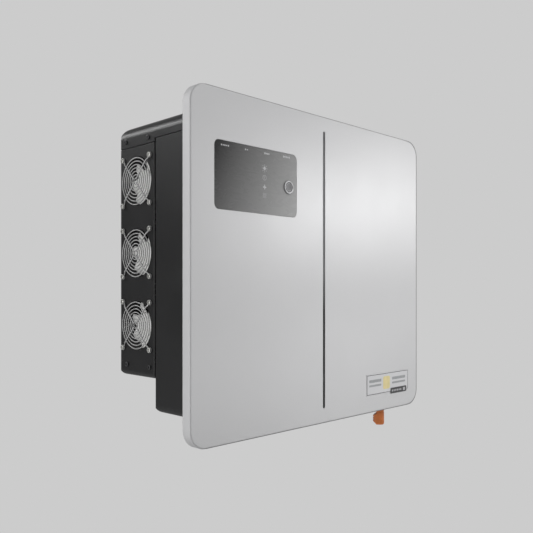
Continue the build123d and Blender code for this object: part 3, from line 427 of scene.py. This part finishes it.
# keyed by material slot
MATERIALS = {
    "black_screw": surface("blackened_screw", srgb(48, 48, 50), rough=0.4, metal=0.4,
                           grain=1200, var=0.1, patch=120, wear=0.3, radius=0.0003),
    "silver_cover": surface("satin_silver_powder", srgb(190, 190, 191), rough=0.30, metal=0.42,
                            grain=2600, bump=0.05, depth=0.00012, var=0.02, patch=3.0,
                            rough_var=0.05, radius=0.0012, dust=0.05, speck=0.12, rim=0.85),
    "black_casing": surface("black_textured_powder", srgb(19, 19, 20), rough=0.44, spec=0.27,
                            grain=1500, bump=0.35, depth=0.0003, var=0.10, patch=6.0,
                            wear=0.35, wear_colour=srgb(78, 78, 80), radius=0.0010,
                            dust=0.15, speck=0.12),
    "groove_black": surface("groove_black", srgb(16, 16, 17), rough=0.7, bump=0.2, var=0.15),
    "smoked_window": window_material("smoked_acrylic_painted_reflection"),
    "seal_rubber": surface("seal_rubber", srgb(34, 34, 35), rough=0.8, grain=1400, bump=0.4,
                           var=0.15, patch=20),
    "foam_seal": surface("foam_seal", srgb(48, 48, 48), rough=0.95, grain=2400, bump=0.9,
                         depth=0.0004, var=0.2, patch=40),
    "green_board": board_material("solder_resist"),
    "lcd": surface("lcd_glass", srgb(96, 108, 92), rough=0.12, spec=0.6, grain=2600, bump=0.02,
                   var=0.03, coat=0.6),
    "light_pipe": surface("light_pipe", srgb(205, 208, 214), rough=0.2, grain=500, bump=0.05,
                          var=0.04, coat=0.4),
    "bright_ring": surface("bright_ring", srgb(148, 148, 149), rough=0.30, metal=1.0, grain=600,
                           bump=0.04, var=0.04, patch=80, radius=0.0004, stretch=(1, 6, 1)),
    "button_grey": surface("button_cap", srgb(120, 120, 122), rough=0.42, metal=0.2, grain=1800,
                           var=0.05, patch=60, radius=0.0004),
    "black_plastic": surface("black_moulding", srgb(30, 30, 31), grain=1600, bump=0.25,
                             var=0.12, patch=30, wear=0.3),
    "spring_steel": surface("spring_steel", srgb(165, 165, 168), rough=0.28, metal=1.0,
                            patch=120),
    "badge_silver": surface("badge_film", srgb(222, 222, 224), rough=0.40, grain=1600,
                            bump=0.05, var=0.03, stretch=(1, 1, 30)),
    "badge_dark": surface("badge_strip_film", srgb(46, 46, 48), rough=0.4, grain=1600,
                          bump=0.08, var=0.1, patch=40),
    "zinc_screw": surface("zinc_plate", srgb(190, 190, 186), rough=0.30, metal=0.9, grain=1200,
                          bump=0.12, var=0.10, patch=160, wear=0.4, radius=0.0003),
    "galvanised": surface("galvanised_sheet", srgb(158, 161, 164), rough=0.42, metal=0.85,
                          grain=160, bump=0.08, var=0.14, patch=45, wear=0.3),
    "cast_aluminium": surface("extruded_aluminium", srgb(176, 177, 180), rough=0.38, metal=0.9,
                              grain=700, var=0.06, stretch=(0.02, 1, 1)),
    "chromed_wire": surface("plated_wire", srgb(160, 160, 160), rough=0.45, metal=0.4,
                            grain=1500, bump=0.08, patch=120, radius=0.0003),
    # pale translucent plastic; the glow is painted light that brightens the impeller deep in its opening
    "rotor_grey": surface("impeller_grey", srgb(214, 214, 212), grain=1500, var=0.06,
                          patch=40, wear=0.2, glow=0.10),
    "fan_black": surface("fan_frame_black", srgb(30, 30, 31), rough=0.48, grain=1600, bump=0.15,
                         var=0.12, patch=40, wear=0.35),
    "copper_winding": winding_material("copper_winding", srgb(184, 104, 58)),
    "bearing_steel": surface("bearing_steel", srgb(180, 180, 182), rough=0.2, metal=1.0,
                             bump=0.05, var=0.05, patch=90),
    "brass_post": surface("brass_post", srgb(190, 158, 92), rough=0.32, metal=1.0, var=0.1,
                          patch=90),
    "module_black": surface("module_black", srgb(28, 28, 30), rough=0.35, grain=1800, bump=0.15,
                            var=0.12, patch=40),
    "capacitor_can": surface("capacitor_sleeve", srgb(52, 62, 84), rough=0.35, grain=1200,
                             bump=0.06, var=0.1, patch=40, coat=0.2),
    "choke_core": winding_material("choke_winding", srgb(150, 92, 48)),
    "relay_black": surface("relay_black", srgb(34, 34, 38), rough=0.4, grain=1500, var=0.12,
                           patch=60),
    "surge_grey": surface("surge_grey", srgb(126, 128, 130), rough=0.45, grain=1400, bump=0.12,
                          var=0.06, patch=50),
    "terminal_grey": surface("terminal_grey", srgb(96, 110, 124), rough=0.45, grain=1400,
                             bump=0.12, var=0.06, patch=50),
    "switch_plastic": surface("switch_plastic", srgb(44, 44, 46), rough=0.45, grain=1400,
                              bump=0.15, var=0.1, patch=50),
    "knob_orange": surface("orange_moulding", srgb(206, 118, 62), spec=0.4, grain=1300,
                           bump=0.18, var=0.14, patch=70, wear=0.4,
                           wear_colour=srgb(196, 118, 66), radius=0.0008),
    "shaft_steel": surface("turned_steel", srgb(170, 170, 172), rough=0.3, metal=1.0, grain=700,
                           bump=0.15, stretch=(1, 1, 20)),
    "gland_plastic": surface("gland_polyamide", srgb(36, 36, 38), grain=1500, bump=0.25,
                             var=0.12, patch=40, wear=0.35),
    "connector_black": surface("connector_black", srgb(26, 26, 27), rough=0.45, grain=1500,
                               bump=0.2, var=0.12, patch=50, wear=0.35),
}
# parts with a finish of their own, whatever their slot
PART_MATERIALS = {
    "top_cover": surface("black_textured_hood", srgb(22, 22, 23), rough=0.34, spec=0.34,
                         grain=1500, bump=0.25, depth=0.0003, var=0.10, patch=6.0,
                         rough_var=0.06, wear=0.3, wear_colour=srgb(78, 78, 80),
                         radius=0.0010, dust=0.10, speck=0.12),
    "slot_inlay": inlay_material("slot_inlay_painted_reflection"),
}
INK_LIGHT = ink("light_print", srgb(204, 204, 206))
INK_SOFT = ink("soft_print", srgb(184, 184, 186))
INK_DARK = ink("dark_print", srgb(112, 112, 114), var=0.12)
INK_AMBER = ink("amber_print", srgb(236, 220, 160), rough=0.5, var=0.08, patch=120)
INK_BARS = ink("badge_bar_print", srgb(164, 166, 168), rough=0.5, patch=150)
CABLE_BLACK = cable_sheath("cable_black", srgb(26, 26, 27), rough=0.55, bump=0.15, var=0.15)
CABLE_RED = cable_sheath("cable_red", srgb(150, 30, 26))
CABLE_GREY = cable_sheath("cable_grey", srgb(128, 130, 134), var=0.10)


def shade_smooth(mesh, sharp_degrees):
    for face in mesh.polygons:
        face.use_smooth = True
    mesh.set_sharp_from_angle(angle=math.radians(sharp_degrees))


def dress_parts():
    slots = {part["node"]: part["material_slot"] for part in frame["record"]["subparts"]}
    for name, part in frame["nodes"].items():
        part.data.materials.clear()
        part.data.materials.append(PART_MATERIALS.get(name) or MATERIALS[slots[name]])
        shade_smooth(part.data, 28)


dress_parts()


# ------------------------------------------------------------------ mesh helpers
# Outlines are lists of (u, v). A place function turns u, v and the height w into a point.
def metres(x, y, z):
    return Vector((x * MM, y * MM, z * MM))


def toward_front(y):
    return lambda u, v, w: metres(u, y - w, v)


def toward_left(x):
    return lambda u, v, w: metres(x - w, u, v)


def downward(z):
    return lambda u, v, w: metres(u, v, z - w)


def upward(z):
    return lambda u, v, w: metres(u, v, z + w)


def add_piece(name, bm, material, body=ROOT, slot=None, sharp_degrees=30):
    bmesh.ops.recalc_face_normals(bm, faces=bm.faces)
    mesh = bpy.data.meshes.new(name)
    bm.to_mesh(mesh)
    bm.free()
    shade_smooth(mesh, sharp_degrees)
    piece = bpy.data.objects.new(name, mesh)
    scene.collection.objects.link(piece)
    mesh.materials.append(material)
    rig.ride(piece, body)
    if slot:
        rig.slot(piece, slot)
    return piece


def bridge(bm, rows):
    """Quads between each closed row of vertices and the next."""
    for a, b in zip(rows, rows[1:]):
        for i in range(len(a)):
            j = (i + 1) % len(a)
            bm.faces.new([a[i], a[j], b[j], b[i]])


def prism(bm, outline, place, depth):
    rows = [[bm.verts.new(place(u, v, w)) for u, v in outline] for w in (0.0, depth)]
    bm.faces.new(list(reversed(rows[0])))
    bm.faces.new(rows[1])
    bridge(bm, rows)


def prisms(name, outlines, place, depth, material, body=ROOT, slot=None):
    """One piece made of a prism on each outline."""
    bm = bmesh.new()
    for outline in outlines:
        prism(bm, outline, place, depth)
    add_piece(name, bm, material, body, slot)


def ring(bm, place, centre, inner, outer, bottom, top, segments, soft=0.0):
    """Closed ring between two radii, its top edges chamfered by soft."""
    profile = [(inner, bottom), (outer, bottom), (outer, top), (inner, top)]
    if soft:
        profile[2:] = [(outer, top - soft), (outer - soft, top),
                       (inner + soft, top), (inner, top - soft)]
    angles = around(segments)
    rows = [[bm.verts.new(place(centre[0] + r * math.cos(a), centre[1] + r * math.sin(a), w))
             for a in angles] for r, w in profile]
    bridge(bm, rows + rows[:1])


def border(bm, place, x0, z0, x1, z1, width, depth):
    """Closed rectangular border with square corners."""
    outer = box_outline(x0, z0, x1, z1)
    inner = box_outline(x0 + width, z0 + width, x1 - width, z1 - width)
    rows = [[bm.verts.new(place(u, v, w)) for u, v in outline]
            for outline, w in ((inner, 0), (outer, 0), (outer, depth), (inner, depth))]
    bridge(bm, rows + rows[:1])


def around(count):
    """Evenly spaced angles of a full turn."""
    return [2 * math.pi * i / count for i in range(count)]


def box_outline(x0, y0, x1, y1):
    return [(x0, y0), (x1, y0), (x1, y1), (x0, y1)]


def rounded(cx, cy, width, height, radius, segments):
    points = []
    for k, (sx, sy) in enumerate(((1, 1), (-1, 1), (-1, -1), (1, -1))):
        ox = cx + sx * (width / 2 - radius)
        oy = cy + sy * (height / 2 - radius)
        for i in range(segments + 1):
            a = math.radians(90 * k + 90 * i / segments)
            points.append((ox + radius * math.cos(a), oy + radius * math.sin(a)))
    return points


def radial_bar(centre, angle, start, end, half_start=0.5, half_end=0.5):
    """Bar pointing out from centre, from radius start to end, with its half widths there."""
    c, s = math.cos(angle), math.sin(angle)
    return [(centre[0] + c * r - s * t, centre[1] + s * r + c * t)
            for r, t in ((start, -half_start), (end, -half_end),
                         (end, half_end), (start, half_start))]


def cable(name, points, radius, material):
    """Round tube along a smooth curve through points."""
    curve = bpy.data.curves.new(name, "CURVE")
    curve.dimensions = "3D"
    curve.resolution_u = 8
    curve.bevel_depth = radius * MM
    curve.bevel_resolution = 4
    curve.use_fill_caps = True
    spline = curve.splines.new("BEZIER")
    spline.bezier_points.add(len(points) - 1)
    for knot, point in zip(spline.bezier_points, points):
        knot.co = metres(*point)
        knot.handle_left_type = knot.handle_right_type = "AUTO"
    path = bpy.data.objects.new(name + "_c", curve)
    scene.collection.objects.link(path)
    bpy.context.view_layer.update()
    tube = path.evaluated_get(bpy.context.evaluated_depsgraph_get())
    mesh = bpy.data.meshes.new_from_object(tube)
    mesh.name = name
    bpy.data.objects.remove(path)
    bm = bmesh.new()
    bm.from_mesh(mesh)
    bmesh.ops.remove_doubles(bm, verts=bm.verts, dist=1e-6)
    return add_piece(name, bm, material, sharp_degrees=40)


# ------------------------------------------------------------------ prints in the display window
PRINT = 0.08  # thickness
SYMBOL_X = -135.0
SUN_Z, GRID_Z, FAULT_Z, DATA_Z = 146.6, 133.0, 119.0, 106.9
# centre x, centre z, width, number of marks, scale of each mark
HEADER_GROUPS = (
    (-212.5, 168.9, 16.0, 5, 1.0),
    (-171.6, 168.9, 7.0, 2, 1.0),
    (-130.2, 168.9, 11.0, 4, 1.25),
    (-88.3, 169.8, 15.5, 5, 1.25),
)
HEADER_HEIGHTS = (2.3, 1.8, 2.1, 1.8, 2.3)


def window_prints():
    place = toward_front(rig.box("display_window")[0].y / MM)
    marks = []
    for cx, z, width, count, scale in HEADER_GROUPS:
        step = width / count
        for k in range(count):
            marks.append(rounded(cx - width / 2 + step * (k + 0.5), z, step * 0.62 * scale,
                                 HEADER_HEIGHTS[k] * scale, 0.35, 3))
    prisms("window_header_marks", marks, place, PRINT, INK_LIGHT)

    # diamond with eight short rays
    x, z = SYMBOL_X, SUN_Z
    diamond = [(x - 3.2, z), (x, z - 3.4), (x + 3.2, z), (x, z + 3.4)]
    rays = [radial_bar((x, z), a, 4.1, 5.6) for a in around(8)]
    prisms("window_symbol_sun", [diamond] + rays, place, PRINT, INK_LIGHT)

    # ring with an upright bar in it
    bm = bmesh.new()
    ring(bm, place, (x, GRID_Z), 3.1, 4.0, 0, PRINT, segments=40)
    prism(bm, rounded(x, GRID_Z, 0.9, 4.2, 0.3, 3), place, PRINT)
    add_piece("window_symbol_grid", bm, INK_SOFT)

    # four-pointed star
    star = []
    for i in range(8):
        a = math.radians(45 * i + 90)
        r = 4.4 if i % 2 == 0 else 1.9
        star.append((x + r * math.cos(a), FAULT_Z + r * math.sin(a)))
    prisms("window_symbol_fault", [star], place, PRINT, INK_LIGHT)

    # three stacked frames
    bm = bmesh.new()
    for k in range(3):
        bottom = DATA_Z - 3.6 + 2.5 * k
        border(bm, place, x - 3.4, bottom, x + 3.4, bottom + 2.0, width=0.55, depth=PRINT)
    add_piece("window_symbol_data", bm, INK_SOFT)


window_prints()

# ------------------------------------------------------------------ ring on the button cap
bezel_lo, bezel_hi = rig.box("button_bezel")
button_x = (bezel_lo.x + bezel_hi.x) / 2  # metres
button_z = (bezel_lo.z + bezel_hi.z) / 2  # metres


def button_ring():
    bm = bmesh.new()
    ring(bm, toward_front(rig.box("button_cap")[0].y / MM), (button_x / MM, button_z / MM),
         inner=5.35, outer=6.1, bottom=-0.35, top=0.12, segments=64, soft=0.06)
    add_piece("button_cap_ring", bm, MATERIALS["bright_ring"], "push_button", "bright_ring")


button_ring()

# ------------------------------------------------------------------ badge prints
BADGE_PRINT = 0.07
BADGE_MARGIN = 0.9
BADGE_BARS_X = ((139.5, 36.0), (212.0, 42.0))  # centre x, width
BADGE_BARS_Z = ((5.2, 5.0), (-2.8, 3.4))  # offset in z, height


def badge():
    lo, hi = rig.box("badge_plate")
    place = toward_front(lo.y / MM)
    bm = bmesh.new()
    border(bm, place, lo.x / MM + BADGE_MARGIN, lo.z / MM + BADGE_MARGIN,
           hi.x / MM - BADGE_MARGIN, hi.z / MM - BADGE_MARGIN, width=1.15, depth=BADGE_PRINT)
    add_piece("badge_border", bm, INK_DARK)
    z = (lo.z + hi.z) / 2 / MM + 1.0
    bars = [rounded(x, z + dz, width, height, 1.2, 4)
            for x, width in BADGE_BARS_X for dz, height in BADGE_BARS_Z]
    prisms("badge_bars", bars, place, BADGE_PRINT, INK_BARS)
    block = rounded(173.5, z - 0.6, 21.0, 23.0, 4.0, 5)
    prisms("badge_amber_block", [block], place, BADGE_PRINT, INK_AMBER)

    lo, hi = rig.box("badge_strip")
    z = (lo.z + hi.z) / 2 / MM
    marks = [rounded(191.5 + 5.3 * k, z, 3.2, 3.4, 0.6, 3) for k in range(6)]
    marks.append(rounded(228.5, z, 6.5, 5.4, 1.2, 4))
    prisms("badge_strip_bars", marks, toward_front(lo.y / MM + 0.02), 0.055, INK_SOFT)


badge()


# ------------------------------------------------------------------ fan hubs
def fan_hub(fan):
    """Two rings joined by six spokes on the rotor's left face."""
    face_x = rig.box(f"fan_{fan}_rotor")[0].x / MM
    lo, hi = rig.box(f"fan_{fan}_frame")
    centre = ((lo.y + hi.y) / 2 / MM, (lo.z + hi.z) / 2 / MM)
    sunk = 0.25
    bm = bmesh.new()
    for inner, outer, segments in ((13.2, 14.2, 64), (5.6, 6.4, 48)):
        ring(bm, toward_left(face_x), centre, inner, outer, -sunk, 0.35, segments, soft=0.2)
    for a in around(6):
        prism(bm, radial_bar(centre, a, 6.6, 13.0), toward_left(face_x + sunk), 0.5)
    add_piece(f"fan_{fan}_hub_relief", bm, MATERIALS["rotor_grey"], f"fan_{fan}_wheel",
              "rotor_grey")


for fan in ("top", "middle", "bottom"):
    fan_hub(fan)

# ------------------------------------------------------------------ DC connectors
DC_COLUMNS = (40, 70, 100, 130)  # x
DC_PLUS_Y, DC_MINUS_Y = -190, -155
DC_MARK_OFFSET = 16.5  # from a connector row to its polarity marks


def dc_connectors():
    ribs = [radial_bar((x, y), a, 6.7, 7.7, half_start=0.55, half_end=0.4)
            for x in DC_COLUMNS for y in (DC_PLUS_Y, DC_MINUS_Y) for a in around(14)]
    prisms("dc_connector_ribs", ribs, upward(-240.5), 17.0, MATERIALS["connector_black"],
           slot="connector_black")

    arm, half = 2.6, 0.5
    marks = []
    for x in DC_COLUMNS:
        y = DC_PLUS_Y - DC_MARK_OFFSET
        marks.append(box_outline(x - arm, y - half, x + arm, y + half))
        marks.append(box_outline(x - half, y + half, x + half, y + arm))
        marks.append(box_outline(x - half, y - arm, x + half, y - half))
        y = DC_MINUS_Y + DC_MARK_OFFSET
        marks.append(box_outline(x - arm, y - half, x + arm, y + half))
    prisms("polarity_marks", marks, downward(-214.5), 0.25, INK_SOFT)


dc_connectors()

# ------------------------------------------------------------------ glands, cap and vent
GLAND_Y = -160
AC_X, COM_X, VENT_X = -120, -60, -15


def gland_details():
    plastic = MATERIALS["gland_plastic"]
    ribs = [radial_bar((COM_X, GLAND_Y), a, 10.6, 11.7, half_start=0.6, half_end=0.45)
            for a in around(18)]
    prisms("com_cap_ribs", ribs, upward(-234.5), 14.5, plastic, slot="gland_plastic")

    bm = bmesh.new()
    ring(bm, upward(-246.0), (AC_X, GLAND_Y), inner=12.0, outer=16.6, bottom=-0.9, top=0.3,
         segments=64, soft=0.3)
    add_piece("ac_gland_lip", bm, plastic, slot="gland_plastic")

    bars = [radial_bar((VENT_X, GLAND_Y), a, 2.2, 6.6) for a in around(8)]
    prisms("vent_grille_bars", bars, upward(-222.6), 0.8, plastic, slot="gland_plastic")


gland_details()

# ------------------------------------------------------------------ isolator
ISOLATOR = (206.6, -188.0)  # x, y of the axis
POINTER = Vector((-0.7079, 0.7063, 0.0))  # direction in which the knob points
TIP_FALL, TIP_RUN = 7.6, 10.4  # slope of the cut-back top of the knob's tip
TIP_START, TIP_Z = 3.9, -260.5  # distance from the axis and height where the slope starts
LINE_SINK = 0.04


def isolator_scale():
    """Two long ticks and an arc of twelve dashes on the escutcheon."""
    outlines = [radial_bar(ISOLATOR, math.radians(a), 11.5, 15.8) for a in (135, 45)]
    for k in range(12):
        start = math.radians(52 + 6.4 * k)
        end = start + math.radians(3.6)
        outlines.append([
            (ISOLATOR[0] + r * math.cos(a), ISOLATOR[1] + r * math.sin(a))
            for r, a in ((13.2, start), (14.0, start), (14.0, end), (13.2, end))])
    prisms("isolator_scale", outlines, downward(-221.5), 0.12, INK_LIGHT)


def isolator_pointer_line():
    slant = math.hypot(TIP_FALL, TIP_RUN)
    fall, run = TIP_FALL / slant, TIP_RUN / slant
    across = Vector((-POINTER.y, POINTER.x, 0.0))
    axis = Vector((*ISOLATOR, 0)) * MM

    def on_slope(u, v, w):
        w -= LINE_SINK
        along = TIP_START + u * run + w * fall
        z = TIP_Z - u * fall + w * run
        return axis + POINTER * (along * MM) + across * (v * MM) + Vector((0, 0, z * MM))

    line = radial_bar((0, 0), 0, 2.6, 10.2, half_start=0.5, half_end=0.4)
    prisms("isolator_pointer_line", [line], on_slope, 0.09, INK_LIGHT, "isolator_handle")


isolator_scale()
isolator_pointer_line()

# ------------------------------------------------------------------ button spring
COIL_RADIUS, COIL_LENGTH, COIL_PITCH = 5.0, 7.4, 1.95
COIL_FRONT_Y = -218.55
COIL_STEPS = 92
BUTTON_TRAVEL = 0.0015  # metres


def button_spring():
    """Coil that shortens as the cap is pressed."""
    points = []
    for i in range(COIL_STEPS + 1):
        a = 2 * math.pi * (COIL_LENGTH / COIL_PITCH) * i / COIL_STEPS
        points.append((button_x / MM + COIL_RADIUS * math.cos(a),
                       COIL_FRONT_Y + COIL_LENGTH * i / COIL_STEPS,
                       button_z / MM - COIL_RADIUS * math.sin(a)))
    lo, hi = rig.box("button_spring")
    spring = cable("button_return_coil", points, 0.34, MATERIALS["spring_steel"])
    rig.replaces(spring, "button_spring")
    rest = hi.y - lo.y
    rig.squash(spring, "push_button_travel", (0, 1, 0), (button_x, hi.y, button_z),
              keep=(rest - BUTTON_TRAVEL) / rest - 0.003)


button_spring()

# ------------------------------------------------------------------ strips in the seam's corners
# x (mirrored for the left), y: closes the rear corners inside the top cover's seam
STRIP_OUTLINE = [
    (241.5, -18.5), (241.5, -12.8), (240.0, -11.3), (214.5, -11.3),
    (214.5, -12.6), (240.2, -12.6), (240.2, -18.5),
]
for side, name in ((-1, "seam_corner_strip_left"), (1, "seam_corner_strip_right")):
    prisms(name, [[(side * x, y) for x, y in STRIP_OUTLINE]], upward(183), 12,
           MATERIALS["black_casing"], slot="black_casing")

# ------------------------------------------------------------------ wiring
# name, y of the connector row, y of the bend, y of the inner end, sheath
DC_LEADS = (
    ("pos", DC_PLUS_Y, -172, -150, CABLE_RED),
    ("neg", DC_MINUS_Y, -150, -120, CABLE_BLACK),
)
AC_SHEATHS = (CABLE_BLACK, CABLE_GREY, CABLE_RED, CABLE_BLACK, CABLE_GREY)


def wiring():
    cable("ribbon_display", [(-155, -208.5, 90), (-150, -203, 70), (-120, -196, 55),
                             (-95, -189.5, 60)], 2.2, CABLE_GREY)
    for i, x in enumerate(DC_COLUMNS):
        for pole, y, bend_y, end_y, sheath in DC_LEADS:
            cable(f"dc_lead_{pole}_{i + 1}",
                  [(x, y, -198), (x, y, -185), (x, y - 6, -165), (x - 60, bend_y, -140),
                   (x - 62, end_y, -122)], 2.2, sheath)
    for i, sheath in enumerate(AC_SHEATHS):
        gland_x = AC_X + (i - 2) * 4.5
        cable(f"ac_lead_{i + 1}",
              [(-150 + 12.2 * i, -126.5, -176), (-142 + 9 * i, -130, -191),
               (gland_x, -158, -200), (gland_x, GLAND_Y, -213)], 1.9, sheath)


wiring()

# ------------------------------------------------------------------ stage (all in metres)
BACKDROP = (0.604, 0.604, 0.604, 1)  # plain grey that the camera sees on floor and world
FLOOR_HALF, FLOOR_Z = 9, -0.9
AMBIENT_BASE = 0.096
# axis, direction component where the light starts and stops growing, gain
AMBIENT_GAINS = (("Z", -0.3, 0.9, 0.50), ("X", -0.8, 1.0, 1.20))
AMBIENT_REAR = 0.35  # share of the ambient light left towards the rear


def floor():
    bm = bmesh.new()
    corners = box_outline(-FLOOR_HALF, -FLOOR_HALF, FLOOR_HALF, FLOOR_HALF)
    bm.faces.new([bm.verts.new((x, y, FLOOR_Z)) for x, y in corners])
    mesh = bpy.data.meshes.new("floor")
    bm.to_mesh(mesh)
    bm.free()
    plane = bpy.data.objects.new("floor", mesh)
    scene.collection.objects.link(plane)
    material = bpy.data.materials.new("pale_floor")
    nodes = Nodes(material)
    nodes.split_by_camera(
        "ShaderNodeOutputMaterial",
        lit=nodes.add("ShaderNodeBsdfDiffuse", {"Color": (0.55, 0.55, 0.55, 1)}),
        seen=nodes.add("ShaderNodeEmission", {"Color": BACKDROP}))
    mesh.materials.append(material)
    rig.stage(plane)


def studio_world():
    """Ambient light that grows upwards and to the right and is dimmer at the rear."""
    world = bpy.data.worlds.new("studio")
    scene.world = world
    nodes = Nodes(world)
    seen = nodes.add("ShaderNodeBackground", {"Color": BACKDROP})
    ambient = nodes.add("ShaderNodeBackground")
    direction = nodes.separate(nodes.add("ShaderNodeTexCoord").outputs["Generated"])
    level = AMBIENT_BASE
    for axis, start, end, gain in AMBIENT_GAINS:
        level = nodes.math("ADD", nodes.ramp(direction[axis], start, end, to=(0.0, gain)), level)
    rear = nodes.ramp(direction["Y"], 0.0, 0.5, to=(1.0, AMBIENT_REAR))
    nodes.feed(ambient, {"Strength": nodes.times(level, rear)})
    nodes.split_by_camera("ShaderNodeOutputWorld", lit=ambient, seen=seen)


def area_light(name, place, width, height, power, target=(0, -0.12, 0)):
    light = bpy.data.lights.new(name, "AREA")
    light.shape = "RECTANGLE"
    light.size = width
    light.size_y = height
    light.energy = power
    lamp = bpy.data.objects.new(name, light)
    scene.collection.objects.link(lamp)
    lamp.location = place
    aim = Vector(target) - Vector(place)
    lamp.rotation_euler = aim.to_track_quat("-Z", "Y").to_euler()


def lights():
    area_light("softbox_right", (2.115, -1.823, 0.438), width=0.8, height=0.34, power=2.0,
               target=(0.064, -0.2265, 0.11))
    area_light("softbox_right_wide", (2.115, -1.823, 0.460), width=1.4, height=0.80, power=2.5,
               target=(0.064, -0.2265, 0.11))
    area_light("fill_right_low", (2.57, -1.76, -0.70), width=1.4, height=1.2, power=3.9,
               target=(0.2, -0.2265, -0.2))
    area_light("fill_front_low", (1.36, -2.18, -0.62), width=1.8, height=0.8, power=3.2,
               target=(-0.25, -0.2265, -0.2))
    area_light("softbox_left", (-2.7, 0.3, 0.0), width=1.6, height=1.6, power=35.0)
    area_light("strip_back_left", (-1.9, 2.5, 1.7), width=2.4, height=0.55, power=32.0,
               target=(-0.24, -0.1, 0.2))


def camera():
    """Level view from the front left."""
    lens = bpy.data.cameras.new("camera")
    lens.sensor_width = 36.0
    lens.lens = 44.635947
    lens.shift_y = 0.04283302
    lens.clip_start = 0.01
    viewer = bpy.data.objects.new("camera", lens)
    scene.collection.objects.link(viewer)
    viewer.location = (-0.8195, -0.9147, -0.0312)
    viewer.rotation_euler = (math.radians(90), 0, math.radians(-44.94))
    scene.camera = viewer


floor()
studio_world()
lights()
camera()
scene.view_settings.view_transform = "Standard"
scene.view_settings.look = "None"

vis_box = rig.bounds()
try:
    with open("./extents.json", "w") as fh:
        json.dump({"cad": [list(map(float, v)) for v in cad_box],
                   "visual": [list(map(float, v)) for v in vis_box]}, fh)
except OSError:
    pass
